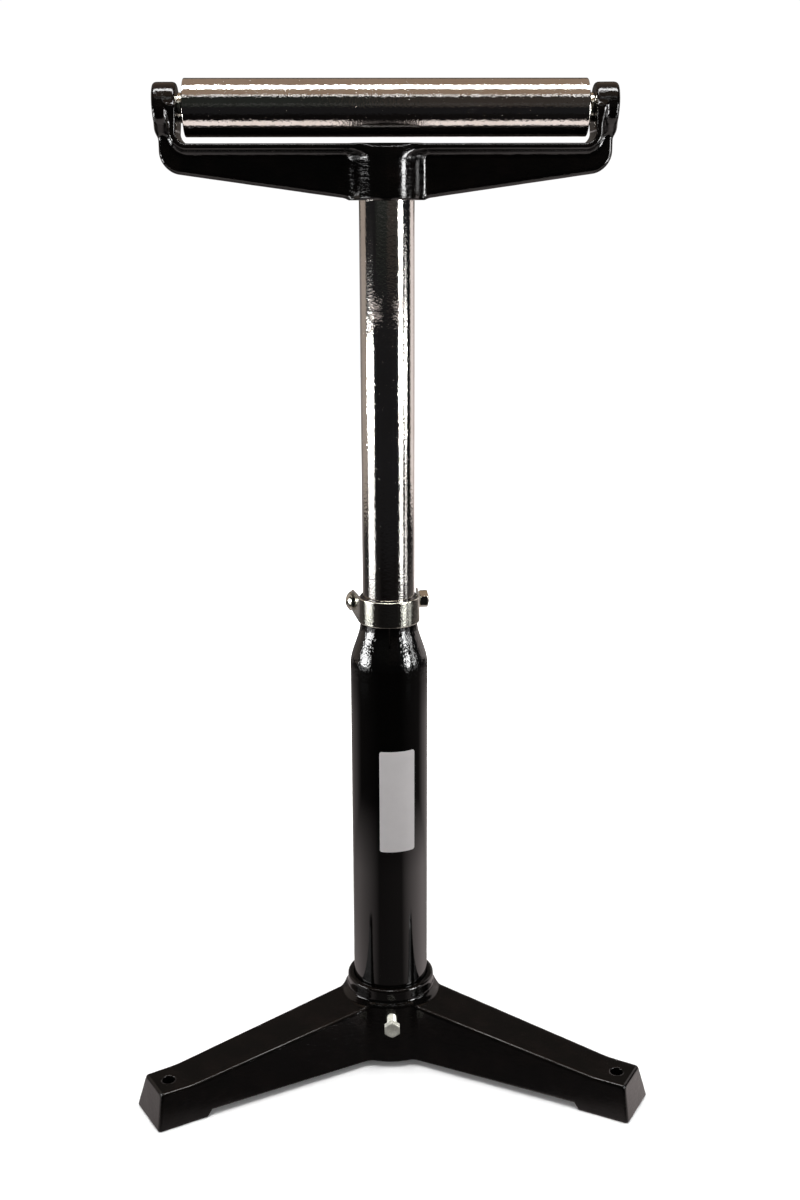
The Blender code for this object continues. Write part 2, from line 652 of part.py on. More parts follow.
def inner_tube():
    """Returns the inner tube with a groove for a circlip on each side of the guide bush."""
    outside = INNER_TUBE_RADIUS
    bottom_of_groove = INNER_TUBE_RADIUS - GROOVE_DEPTH
    profile = [(outside, INNER_TUBE_TOP)]
    for low in (BUSH_TOP, LOWER_GROOVE):
        high = low + GROOVE_WIDTH
        profile += [(outside, high), (bottom_of_groove, high), (bottom_of_groove, low), (outside, low)]
    profile += [(outside, INNER_TUBE_BOTTOM), (outside - INNER_TUBE_WALL, INNER_TUBE_BOTTOM)]
    profile += [(outside - INNER_TUBE_WALL, INNER_TUBE_TOP)]
    return set_transform(turned("inner_tube", profile), Matrix.Translation((0, COLUMN_Y, 0)))


def guide_bush():
    """Returns the bush that centres the inner tube's lower end in the outer tube."""
    outside = TUBE_BORE - RUN_GAP
    inside = INNER_TUBE_RADIUS + RUN_GAP
    profile = [(inside, BUSH_TOP), (outside - BUSH_CHAMFER, BUSH_TOP), (outside, BUSH_TOP - BUSH_CHAMFER)]
    profile += [(outside, BUSH_BOTTOM + BUSH_CHAMFER), (outside - BUSH_CHAMFER, BUSH_BOTTOM)]
    profile += [(inside, BUSH_BOTTOM)]
    return set_transform(turned("guide_bush", profile), Matrix.Translation((0, COLUMN_Y, 0)))


def circlip(name, groove):
    """Returns an open spring ring that holds the bush on the inner tube, in the groove at a height."""
    inside = INNER_TUBE_RADIUS - GROOVE_DEPTH + SEAT_GAP
    start = -math.pi / 2 + CIRCLIP_MOUTH / 2
    end = 3 * math.pi / 2 - CIRCLIP_MOUTH / 2
    outline = arc((0, 0), inside + CIRCLIP_WIDTH, start, end, 4 * ARC_STEPS)
    outline += arc((0, 0), inside, end, start, 4 * ARC_STEPS)
    made = plate(name, outline, CIRCLIP_THICKNESS)
    return set_transform(made, Matrix.Translation((0, COLUMN_Y, groove + GROOVE_WIDTH / 2)))


def front_view():
    """Returns the placement that stands a flat plate up, seen from the front, on the column's plane."""
    return Matrix.Translation((0, COLUMN_Y, 0)) @ Matrix.Rotation(math.radians(90), 4, "X")


def yoke_outline():
    """Returns the yoke's flange in front view: down one arm, under the roller and up the other."""
    outside = ARM_INSIDE + YOKE_THICKNESS
    corner = YOKE_CORNER + YOKE_THICKNESS
    low = YOKE_UNDERSIDE + corner
    high = YOKE_FLOOR + YOKE_CORNER
    return (
        [(-outside, ROLLER_Z)]
        + arc((corner - outside, low), corner, math.pi, 1.5 * math.pi)
        + arc((outside - corner, low), corner, 1.5 * math.pi, 2 * math.pi)
        + [(outside, ROLLER_Z), (ARM_INSIDE, ROLLER_Z)]
        + arc((ARM_INSIDE - YOKE_CORNER, high), YOKE_CORNER, 2 * math.pi, 1.5 * math.pi)
        + arc((YOKE_CORNER - ARM_INSIDE, high), YOKE_CORNER, 1.5 * math.pi, math.pi)
        + [(-ARM_INSIDE, ROLLER_Z)]
    )


def rib_outline():
    """Returns the rib in front view: outside both arms and under the flange, sloping to the boss."""
    outside = ARM_INSIDE + YOKE_THICKNESS + RIB_OUTREACH
    seam = ARM_INSIDE + YOKE_THICKNESS / 2
    corner = YOKE_CORNER + YOKE_THICKNESS / 2
    at_boss = BOSS_BOTTOM + RIB_BOSS_DROP
    centre_x = outside - RIB_CORNER
    centre_z = at_boss + (centre_x - BOSS_RADIUS) * math.tan(RIB_SLOPE) + RIB_CORNER / math.cos(RIB_SLOPE)
    high = YOKE_UNDERSIDE + YOKE_THICKNESS / 2 + corner
    top = ROLLER_Z - RIB_END_DROP
    return (
        [(-outside, top)]
        + arc((-centre_x, centre_z), RIB_CORNER, math.pi, 1.5 * math.pi - RIB_SLOPE)
        + [(-BOSS_RADIUS, at_boss), (BOSS_RADIUS, at_boss)]
        + arc((centre_x, centre_z), RIB_CORNER, 1.5 * math.pi + RIB_SLOPE, 2 * math.pi)
        + [(outside, top), (seam, top)]
        + arc((seam - corner, high), corner, 2 * math.pi, 1.5 * math.pi)
        + arc((corner - seam, high), corner, 1.5 * math.pi, math.pi)
        + [(-seam, top)]
    )


def head_casting():
    """Returns the head: a boss on the mast, a flanged yoke with its rib, and an eye on each arm."""
    head = rounded(plate("head_casting", yoke_outline(), YOKE_WIDTH), CAST_ROUND)
    set_transform(head, front_view())
    rib = rounded(plate("head_rib", rib_outline(), RIB_WIDTH), RIB_ROUND)
    join_shape(head, set_transform(rib, front_view()), "UNION")
    top = YOKE_UNDERSIDE + YOKE_THICKNESS / 2
    boss_profile = [(0.0, top), (BOSS_RADIUS - BOSS_CHAMFER, top), (BOSS_RADIUS, top - BOSS_CHAMFER)]
    boss_profile += [(BOSS_RADIUS, BOSS_BOTTOM + BOSS_CHAMFER), (BOSS_RADIUS - BOSS_CHAMFER, BOSS_BOTTOM)]
    boss_profile += [(0.0, BOSS_BOTTOM)]
    boss = turned("head_boss", boss_profile, closed=False)
    half_step = Matrix.Rotation(math.pi / LARGE_STEPS, 4, "Z")
    join_shape(head, set_transform(boss, Matrix.Translation((0, COLUMN_Y, 0)) @ half_step), "UNION")
    for side, name in ((-1, "eye_left"), (1, "eye_right")):
        low = side * (ARM_INSIDE - EYE_FACING)
        eye_profile = [(0.0, EYE_WIDTH + EYE_FACING)]
        eye_profile += arc(
            (EYE_RADIUS - CAST_ROUND, EYE_WIDTH + EYE_FACING - CAST_ROUND), CAST_ROUND, math.pi / 2, 0.0, 3
        )
        eye_profile += [(EYE_RADIUS, CAST_ROUND), (EYE_RADIUS - CAST_ROUND, 0.0), (0.0, 0.0)]
        eye = turned(name, eye_profile, LARGE_STEPS, closed=False)
        outward = Matrix.Rotation(math.pi / 2 * side, 4, "Y") @ half_step
        set_transform(eye, Matrix.Translation((low, COLUMN_Y, ROLLER_Z)) @ outward)
        join_shape(head, eye, "UNION")
    socket = prism("head_socket", LARGE_STEPS, INNER_TUBE_RADIUS + SEAT_GAP, 2 * BOSS_HEIGHT)
    lower = Matrix.Translation((0, COLUMN_Y, YOKE_UNDERSIDE - 2 * BOSS_HEIGHT))
    join_shape(head, set_transform(socket, lower), "DIFFERENCE")
    bore = prism("axle_bore", SMALL_STEPS, AXLE_RADIUS + SEAT_GAP, 3 * EYE_OUTSIDE)
    across = along_x(-1.5 * EYE_OUTSIDE, COLUMN_Y, ROLLER_Z)
    join_shape(head, set_transform(bore, across), "DIFFERENCE")
    screw_hole = drill("head_screw_bore", SET_SCREW_RADIUS + SEAT_GAP, 2 * BOSS_RADIUS)
    behind = along_plus_y(0, COLUMN_Y, YOKE_UNDERSIDE - HEAD_SCREW_DROP)
    join_shape(head, set_transform(screw_hole, behind), "DIFFERENCE")
    for side in (-1, 1):
        grub_hole = drill("grub_hole", GRUB_RADIUS + SEAT_GAP, 2 * EYE_RADIUS, SMALL_STEPS // 2)
        behind = along_plus_y(side * (ARM_INSIDE + EYE_WIDTH / 2), COLUMN_Y, ROLLER_Z)
        join_shape(head, set_transform(grub_hole, behind), "DIFFERENCE")
    return head


def axle():
    """Returns the fixed axle that joins the two eyes."""
    half = EYE_OUTSIDE - AXLE_RECESS
    profile = [(0.0, half), (AXLE_RADIUS - AXLE_CHAMFER, half), (AXLE_RADIUS, half - AXLE_CHAMFER)]
    profile += [(AXLE_RADIUS, -half + AXLE_CHAMFER), (AXLE_RADIUS - AXLE_CHAMFER, -half), (0.0, -half)]
    shaft = turned("axle", profile, SMALL_STEPS, closed=False)
    return set_transform(shaft, along_x(0, COLUMN_Y, ROLLER_Z))


def axle_grub_screw(side, name):
    """Returns a socket screw in the back of an eye, which holds the axle."""
    screw = prism(name, SMALL_STEPS // 2, GRUB_RADIUS, GRUB_LENGTH)
    key = prism("grub_key", 6, GRUB_KEY / math.sqrt(3), 2 * GRUB_KEY_DEPTH)
    sunk = Matrix.Translation((0, 0, GRUB_LENGTH - GRUB_KEY_DEPTH))
    screw = baked(join_shape(screw, set_transform(key, sunk), "DIFFERENCE"))
    place = along_plus_y(side * (ARM_INSIDE + EYE_WIDTH / 2), COLUMN_Y, ROLLER_Z)
    return set_transform(screw, place @ Matrix.Translation((0, 0, AXLE_RADIUS + SEAT_GAP)))


def ring(name, outside, inside, low, high, steps=SMALL_STEPS):
    """Returns a plain ring about the roller's axis, between two places along X."""
    middle = (low + high) / 2
    half = abs(high - low) / 2
    profile = [(outside, half), (outside, -half), (inside, -half), (inside, half)]
    return set_transform(turned(name, profile, steps), along_x(middle, COLUMN_Y, ROLLER_Z))


def spacer(side, name):
    """Returns the spacer between an arm's faced eye and the bearing's inner ring."""
    low = ROLLER_LENGTH / 2 - BEARING_INSET + SEAT_GAP
    high = ARM_INSIDE - EYE_FACING - SEAT_GAP
    return ring(name, SPACER_RADIUS, AXLE_RADIUS + SEAT_GAP, side * low, side * high)


def roller_tube():
    """Returns the roller: a thick tube with a shouldered bearing seat in each end."""
    half = ROLLER_LENGTH / 2
    seat = BEARING_RADIUS + SEAT_GAP
    shoulder = half - BEARING_INSET - BEARING_WIDTH - SEAT_GAP
    rim = ROLLER_RADIUS - ROLLER_CHAMFER
    profile = [(seat, half), (rim, half), (ROLLER_RADIUS, half - ROLLER_CHAMFER)]
    profile += [(ROLLER_RADIUS, ROLLER_CHAMFER - half), (rim, -half), (seat, -half)]
    profile += [(seat, -shoulder), (ROLLER_BORE, -shoulder), (ROLLER_BORE, shoulder), (seat, shoulder)]
    roller = turned("roller_tube", profile, ROLLER_STEPS)
    return set_transform(roller, along_x(0, COLUMN_Y, ROLLER_Z))


def race_half_width(land):
    """Returns half the width of a ball race where it meets the ring's land."""
    return math.sqrt(RACE_RADIUS ** 2 - (land - BALL_PITCH) ** 2)


def bearing_inner(side, name):
    """Returns a bearing's inner ring with its ball race."""
    half = BEARING_WIDTH / 2
    reach = race_half_width(INNER_RING_RADIUS)
    tilt = math.atan2(reach, INNER_RING_RADIUS - BALL_PITCH)
    race = arc((BALL_PITCH, 0), RACE_RADIUS, tilt, 2 * math.pi - tilt, RACE_STEPS)
    profile = [(INNER_RING_RADIUS, half)] + race + [(INNER_RING_RADIUS, -half)]
    profile += [(INNER_RING_BORE, -half), (INNER_RING_BORE, half)]
    made = turned(name, profile, BEARING_STEPS)
    return set_transform(made, along_x(side * BEARING_X, COLUMN_Y, ROLLER_Z))


def bearing_outer(side, name):
    """Returns a bearing's outer ring with its ball race, whose flat sides the balls clear."""
    half = BEARING_WIDTH / 2
    reach = race_half_width(OUTER_RING_BORE)
    tilt = math.atan2(reach, OUTER_RING_BORE - BALL_PITCH)
    drawn = arc((BALL_PITCH, 0), RACE_RADIUS, -tilt, tilt, RACE_STEPS)
    race = [(radius / math.cos(math.pi / BEARING_STEPS), x) for radius, x in drawn]
    profile = [(BEARING_RADIUS, half), (BEARING_RADIUS, -half), (OUTER_RING_BORE, -half)]
    profile += race + [(OUTER_RING_BORE, half)]
    made = turned(name, profile, BEARING_STEPS)
    return set_transform(made, along_x(side * BEARING_X, COLUMN_Y, ROLLER_Z))


def bearing_ball(side, number, name):
    """Returns one ball of a bearing, in its place round the cage."""
    turn = Matrix.Rotation(2 * math.pi * number / BALL_COUNT, 4, "X")
    centre = Matrix.Translation((side * BEARING_X, COLUMN_Y, ROLLER_Z))
    shape = bmesh.new()
    bmesh.ops.create_icosphere(shape, subdivisions=2, radius=BALL_RADIUS)
    return set_transform(from_bmesh(name, shape), centre @ turn @ Matrix.Translation((0, 0, BALL_PITCH)))


def cage_fingers(near, side):
    """Returns the cage's fingers as one tool, each midway between two balls."""
    low, high = sorted((-side * (near + CAGE_RING / 2), side * BALL_RADIUS / 2))
    size = Vector((high - low, FINGER_WIDTH, CAGE_HEIGHT / 2))
    shape = bmesh.new()
    for number in range(BALL_COUNT):
        turn = Matrix.Rotation(2 * math.pi * (number + 0.5) / BALL_COUNT, 4, "X")
        middle = turn @ Matrix.Translation(((low + high) / 2, 0, BALL_PITCH))
        bmesh.ops.create_cube(shape, size=1.0, matrix=middle @ Matrix.Diagonal((*size, 1)))
    return from_bmesh("cage_fingers", shape)


def bearing_cage(side, name):
    """Returns a bearing's snap-in cage: a ring on the roller's inner side, with fingers between balls."""
    near = BALL_RADIUS + CAGE_CLEARANCE
    centre = side * BEARING_X
    outside = BALL_PITCH + CAGE_HEIGHT / 2
    inside = BALL_PITCH - CAGE_HEIGHT / 2
    low, high = centre - side * (near + CAGE_RING), centre - side * near
    cage = ring(name, outside, inside, low, high, BEARING_STEPS)
    fingers = set_transform(cage_fingers(near, side), Matrix.Translation((centre, COLUMN_Y, ROLLER_Z)))
    return join_shape(cage, fingers, "UNION")


def bearing_shield(side, name):
    """Returns the sheet ring that closes a bearing's outer side and turns with its outer ring."""
    face = BEARING_X + BEARING_WIDTH / 2 - SHIELD_INSET
    outside = OUTER_RING_BORE - SEAT_GAP
    inside = INNER_RING_RADIUS + SEAT_GAP
    return ring(name, outside, inside, side * (face - SHIELD_THICKNESS), side * face, BEARING_STEPS)


def build():
    """Builds the stand, each piece under the empty of the body that carries it."""
    paint = material("gloss_black_paint", PAINT)
    zinc = material("zinc_plate", ZINC)
    polished = material("polished_steel", POLISHED_STEEL)
    bearing_steel = material("bearing_steel", BEARING_STEEL)
    shaft_steel = material("bright_shaft", BRIGHT_SHAFT)
    nylon = material("nylon", NYLON)

    column = empty("base_frame", (0, COLUMN_Y, 0))
    slide = empty("mast_slide", (0, COLUMN_Y, BUSH_BOTTOM), column)
    swivel = empty("mast_swivel", (0, COLUMN_Y, BUSH_BOTTOM), slide)
    roller_axis = empty("roller_axis", (0, COLUMN_Y, ROLLER_Z), swivel)
    cage_axes = {
        -1: empty("cage_axis_left", (-BEARING_X, COLUMN_Y, ROLLER_Z), swivel),
        1: empty("cage_axis_right", (BEARING_X, COLUMN_Y, ROLLER_Z), swivel),
    }
    bolt_middle = clamp_place(BOLT_Z) @ Vector((bolt_seat(), BOLT_REACH, 0))
    nut_axis = empty("nut_axis", bolt_middle, column)

    finish_part(base_casting(), paint, column)
    finish_part(outer_tube(), paint, column)
    finish_part(base_set_screw(), zinc, column)
    finish_part(clamp_strap(), zinc, column)
    finish_part(clamp_bolt(), zinc, column)
    finish_part(clamp_nut(), zinc, nut_axis)
    finish_part(guide_bush(), nylon, slide)
    finish_part(inner_tube(), polished, swivel)
    finish_part(circlip("circlip_upper", BUSH_TOP), shaft_steel, swivel)
    finish_part(circlip("circlip_lower", LOWER_GROOVE), shaft_steel, swivel)
    finish_part(head_casting(), paint, swivel)
    finish_part(head_set_screw(), zinc, swivel)
    finish_part(axle(), shaft_steel, swivel)
    finish_part(roller_tube(), polished, roller_axis)
    for side, end in ((-1, "left"), (1, "right")):
        finish_part(axle_grub_screw(side, f"axle_grub_screw_{end}"), shaft_steel, swivel)
        finish_part(spacer(side, f"spacer_{end}"), zinc, swivel)
        finish_part(bearing_inner(side, f"bearing_inner_{end}"), bearing_steel, swivel)
        finish_part(bearing_outer(side, f"bearing_outer_{end}"), bearing_steel, roller_axis)
        finish_part(bearing_shield(side, f"bearing_shield_{end}"), bearing_steel, roller_axis)
        finish_part(bearing_cage(side, f"bearing_cage_{end}"), nylon, cage_axes[side])
        for number in range(BALL_COUNT):
            ball = bearing_ball(side, number, f"bearing_ball_{end}_{number + 1}")
            finish_part(ball, bearing_steel, cage_axes[side])


for leftover in list(bpy.data.objects):
    bpy.data.objects.remove(leftover)
PARTS = collection("roller_stand")
CUTTERS = collection("cutters")
build()
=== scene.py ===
"""Roller stand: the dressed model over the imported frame, in a plain white studio.

Every length is in metres. X runs along the roller, the rear leg points to +Y, +Z is up, and the
column stands on the vertical axis through (0, column_y). Castings and fasteners are the zero
surface of a field, tubes and rings are profiles turned on a grid.
"""

import logging
import math
from dataclasses import dataclass, field
from enum import Enum
from typing import Callable, Sequence, Tuple, Union

import bmesh
import bpy
import numpy as np
from mathutils import Matrix, Vector


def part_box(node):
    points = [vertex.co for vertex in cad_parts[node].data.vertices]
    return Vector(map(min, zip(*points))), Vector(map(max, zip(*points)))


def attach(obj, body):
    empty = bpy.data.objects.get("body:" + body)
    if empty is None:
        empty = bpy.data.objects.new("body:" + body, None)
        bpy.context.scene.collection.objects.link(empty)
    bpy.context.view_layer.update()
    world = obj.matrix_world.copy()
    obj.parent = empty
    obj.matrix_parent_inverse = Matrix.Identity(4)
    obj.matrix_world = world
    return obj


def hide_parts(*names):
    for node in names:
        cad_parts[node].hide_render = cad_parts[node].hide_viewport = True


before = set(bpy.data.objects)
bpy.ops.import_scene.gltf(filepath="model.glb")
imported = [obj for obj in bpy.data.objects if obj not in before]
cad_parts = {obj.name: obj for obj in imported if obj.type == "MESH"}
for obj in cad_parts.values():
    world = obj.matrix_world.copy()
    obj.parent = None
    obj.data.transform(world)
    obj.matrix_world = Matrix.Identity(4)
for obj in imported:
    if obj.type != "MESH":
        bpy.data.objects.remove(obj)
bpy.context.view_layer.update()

Array = np.ndarray
Field = Callable[[Array, Array, Array], Array]
Colour = Tuple[float, float, float, float]
Corner = Tuple[float, float, float]
Span = Tuple[float, float]
Glow = Tuple[float, float, float]
Socket = bpy.types.NodeSocket
Value = Union[Socket, float, Sequence[float]]
HALF_ROOT_THREE = 0.8660254
SLANT_45 = 0.7071
LOG = logging.getLogger("roller_stand")


# ---------------------------------------------------------------------------------------------
# Fields and surfaces
# ---------------------------------------------------------------------------------------------


def blend_max(a: Array, b: Array, ease: float) -> Array:
    """Returns the larger of two fields, with a rounded edge where they meet.

    Where the two differ by less than ease, a parabola of height ease / 4 joins them.

    Args:
        a: One field.
        b: The other field.
        ease: Width of the rounding.

    Returns:
        The field of what lies inside both shapes.
    """
    share = np.clip(0.5 + 0.5 * (a - b) / ease, 0.0, 1.0)
    return b + (a - b) * share + ease * share * (1.0 - share)


def blend_min(a: Array, b: Array, ease: float) -> Array:
    """Returns the smaller of two fields, with a fillet where they meet.

    Args:
        a: One field.
        b: The other field.
        ease: Width of the fillet.

    Returns:
        The field of what lies inside either shape.
    """
    return -blend_max(-a, -b, ease)


def cast_unevenness(x: Array, y: Array, z: Array, height: float) -> Array:
    """Returns the slow unevenness of a sand casting: a sum of five skew sine waves, 13 to 32 mm long.

    Args:
        x: X of the points.
        y: Y of the points.
        z: Z of the points.
        height: Largest height of the waves together.

    Returns:
        The height at each point.
    """
    waves = (
        (163.0, 91.0, 57.0, 0.3),
        (-118.0, 204.0, 83.0, 1.7),
        (241.0, -137.0, 190.0, 2.9),
        (71.0, 268.0, -231.0, 4.1),
        (-322.0, -155.0, 298.0, 5.2),
    )
    total = 0.0
    for along_x, along_y, along_z, start in waves:
        total = total + np.sin(along_x * x + along_y * y + along_z * z + start)
    return total * (height / len(waves))


@dataclass(frozen=True)
class FieldSurface:
    """A closed surface where a field is zero, which is negative inside.

    Attributes:
        shape: The field, as a function of x, y and z arrays.
        low: Lowest corner of the box to search.
        high: Highest corner of the box to search.
        cell: Size of a cell of the grid.
    """

    shape: Field
    low: Corner
    high: Corner
    cell: float

    def mesh(self, name: str) -> bpy.types.Mesh:
        """Returns the surface as a mesh.

        Each cell of the grid that the surface crosses gets one corner, at the mean of the points
        where it crosses the cell's twelve edges. Each edge of the grid that it crosses joins the four
        cells round it with a face. The corners are then moved along the field's slope on to its zero,
        and the slope gives the shading normals.

        Args:
            name: Name of the mesh.

        Returns:
            The mesh, with faces outward.
        """
        axes = [
            np.arange(low - 1.5 * self.cell, high + 2.5 * self.cell, self.cell)
            for low, high in zip(self.low, self.high)
        ]
        values = self.shape(axes[0][:, None, None], axes[1][None, :, None], axes[2][None, None, :])
        values = np.ascontiguousarray(np.broadcast_to(values, tuple(len(axis) for axis in axes)))
        points, number = self._corners(values, axes)
        faces = self._faces(values < 0.0, number)
        for _ in range(4):
            slope = self._slope(points)
            level = self.shape(points[:, 0], points[:, 1], points[:, 2])
            step = level / np.maximum((slope ** 2).sum(axis=1), 0.05)
            step = np.clip(step, -0.5 * self.cell, 0.5 * self.cell)
            points = points - slope * step[:, None]
        slope = self._slope(points)
        normals = slope / np.maximum(np.linalg.norm(slope, axis=1), 1e-9)[:, None]
        made = bpy.data.meshes.new(name)
        made.vertices.add(len(points))
        made.vertices.foreach_set("co", points.ravel())
        made.loops.add(faces.size)
        made.loops.foreach_set("vertex_index", faces.ravel())
        made.polygons.add(len(faces))
        made.polygons.foreach_set("loop_start", np.arange(0, faces.size, 4))
        made.update(calc_edges=True)
        made.validate()
        made.shade_smooth()
        made.normals_split_custom_set_from_vertices(normals)
        return made

    def _corners(self, values: Array, axes: Sequence[Array]) -> Tuple[Array, Array]:
        """Returns the crossed cells' corners and the number of each cell's corner, or -1."""
        shifts = [(i, j, k) for i in (0, 1) for j in (0, 1) for k in (0, 1)]
        size = tuple(length - 1 for length in values.shape)
        cut = [tuple(slice(s, s + n) for s, n in zip(shift, size)) for shift in shifts]
        inside = sum((values[part] < 0.0).astype(np.int8) for part in cut)
        crossed = (inside > 0) & (inside < 8)
        cells = np.argwhere(crossed)
        number = np.full(size, -1, np.int64)
        number[crossed] = np.arange(len(cells))
        at = [values[part][crossed] for part in cut]
        total = np.zeros((len(cells), 3))
        count = np.zeros(len(cells))
        for a, first in enumerate(shifts):
            for b, second in enumerate(shifts):
                if b <= a or sum(abs(p - q) for p, q in zip(first, second)) != 1:
                    continue
                meets = (at[a] < 0.0) != (at[b] < 0.0)
                share = np.where(meets, at[a] / np.where(meets, at[a] - at[b], 1.0), 0.0)
                start = np.array(first, float)
                way = np.array(second, float) - start
                total += np.where(meets[:, None], start + share[:, None] * way, 0.0)
                count += meets
        place = cells + total / count[:, None]
        origin = np.array([axis[0] for axis in axes])
        return origin + place * self.cell, number

    def _faces(self, inside: Array, number: Array) -> Array:
        """Returns the faces as rows of four corner numbers, turned so that they look outward."""
        made = []
        for axis in range(3):
            step = [slice(None)] * 3
            back = [slice(None)] * 3
            step[axis] = slice(1, None)
            back[axis] = slice(None, -1)
            here, there = inside[tuple(back)], inside[tuple(step)]
            edges = np.argwhere(here != there)
            edges = edges[(edges > 0).all(axis=1) & (edges < np.array(number.shape)).all(axis=1)]
            out = here[tuple(edges.T)]
            second, third = (axis + 1) % 3, (axis + 2) % 3
            corners = []
            for down_second, down_third in ((1, 1), (0, 1), (0, 0), (1, 0)):
                cell = edges.copy()
                cell[:, second] -= down_second
                cell[:, third] -= down_third
                corners.append(number[tuple(cell.T)])
            quads = np.stack(corners, axis=1)
            quads[~out] = quads[~out][:, ::-1]
            made.append(quads[(quads >= 0).all(axis=1)])
        return np.concatenate(made).astype(np.int32)

    def _slope(self, points: Array) -> Array:
        """Returns the field's slope at points, from differences over a sixth of a cell each way."""
        reach = self.cell / 6
        parts = []
        for axis in range(3):
            move = np.zeros(3)
            move[axis] = reach
            ahead, behind = points + move, points - move
            rise = self.shape(ahead[:, 0], ahead[:, 1], ahead[:, 2])
            rise = rise - self.shape(behind[:, 0], behind[:, 1], behind[:, 2])
            parts.append(rise / (2 * reach))
        return np.stack(parts, axis=1)


def rounded_profile(points: Sequence[Tuple[float, float]], radius: float, steps: int = 4) -> Array:
    """Returns a closed profile whose corners are eased.

    Each corner is replaced by a parabola that starts and ends on its two sides, at the given radius
    from it or at 45 % of a shorter side.

    Args:
        points: The corners, as radius and height.
        radius: How far from a corner the easing starts.
        steps: Number of pieces in each eased corner.

    Returns:
        The profile, as rows of radius and height.
    """
    corner = np.array(points, float)
    ends = []
    for other in (np.roll(corner, 1, axis=0), np.roll(corner, -1, axis=0)):
        way = other - corner
        length = np.linalg.norm(way, axis=1, keepdims=True)
        ends.append(corner + way / length * np.minimum(radius, 0.45 * length))
    share = np.linspace(0.0, 1.0, steps + 1)[None, :, None]
    start, middle, end = ends[0][:, None], corner[:, None], ends[1][:, None]
    eased = (1 - share) ** 2 * start + 2 * share * (1 - share) * middle + share ** 2 * end
    return eased.reshape(-1, 2)


def grid_quads(row: Array, column: Array, next_row: Array, next_column: Array, columns: int) -> Array:
    """Returns the faces of a grid whose points are numbered row by row.

    Args:
        row: Row of each face's first corner.
        column: Column of the first corner.
        next_row: Row of the corner across the face.
        next_column: Column of the corner across the face.
        columns: Number of points in a row.

    Returns:
        Four point numbers for each face, on the last axis.
    """
    corners = ((row, column), (row, next_column), (next_row, next_column), (next_row, column))
    return np.stack([at_row * columns + at_column for at_row, at_column in corners], axis=-1)


def turned_mesh(name: str, profile: Array, steps: int, place: Matrix, closed: bool = True) -> bpy.types.Mesh:
    """Returns a profile turned about an axis, as a grid of profile points by angles.

    A point of radius r and height h at the angle t lies at (r cos t, r sin t, h) in the piece's own
    frame, which place carries to the stand's.

    Args:
        name: Name of the mesh.
        profile: Rows of radius and height.
        steps: Number of angles in a full turn.
        place: The piece's own frame.
        closed: Whether the profile's last point joins its first.

    Returns:
        The mesh, with doubled points merged and faces outward.
    """
    turn = np.linspace(0.0, 2 * math.pi, steps, endpoint=False)
    radius, height = profile[:, 0][:, None], profile[:, 1][:, None]
    grid = np.stack([radius * np.cos(turn), radius * np.sin(turn), height + 0 * turn], axis=2)
    rows = len(profile) if closed else len(profile) - 1
    i, j = np.meshgrid(np.arange(rows), np.arange(steps), indexing="ij")
    quads = grid_quads(i, j, (i + 1) % len(profile), (j + 1) % steps, steps)
    return grid_mesh(name, grid.reshape(-1, 3), quads.reshape(-1, 4), place)


def grid_mesh(name: str, points: Array, quads: Array, place: Matrix) -> bpy.types.Mesh:
    """Returns a mesh of grid points and faces, merged, turned outward and smooth below 32 degrees.

    Args:
        name: Name of the mesh.
        points: Rows of x, y and z in the piece's own frame.
        quads: Rows of four point numbers.
        place: The piece's own frame.

    Returns:
        The mesh in the stand's frame.
    """
    turn = np.array(place)
    world = points @ turn[:3, :3].T + turn[:3, 3]
    made = bpy.data.meshes.new(name)
    made.from_pydata(world, [], quads)
    shape = bmesh.new()
    shape.from_mesh(made)
    bmesh.ops.remove_doubles(shape, verts=shape.verts, dist=1e-7)
    bmesh.ops.recalc_face_normals(shape, faces=shape.faces)
    shape.to_mesh(made)
    shape.free()
    made.shade_smooth()
    made.set_sharp_from_angle(angle=math.radians(32))
    return made


# ---------------------------------------------------------------------------------------------
# Finishes
# ---------------------------------------------------------------------------------------------


class Slot(Enum):
    """The record's material slots."""

    CASTING_PAINT = "casting_paint"
    TUBE_PAINT = "tube_paint"
    ZINC_PLATE = "zinc_plate"
    POLISHED_STEEL = "polished_steel"
    SHAFT_STEEL = "shaft_steel"
    BEARING_STEEL = "bearing_steel"
    NYLON = "nylon"


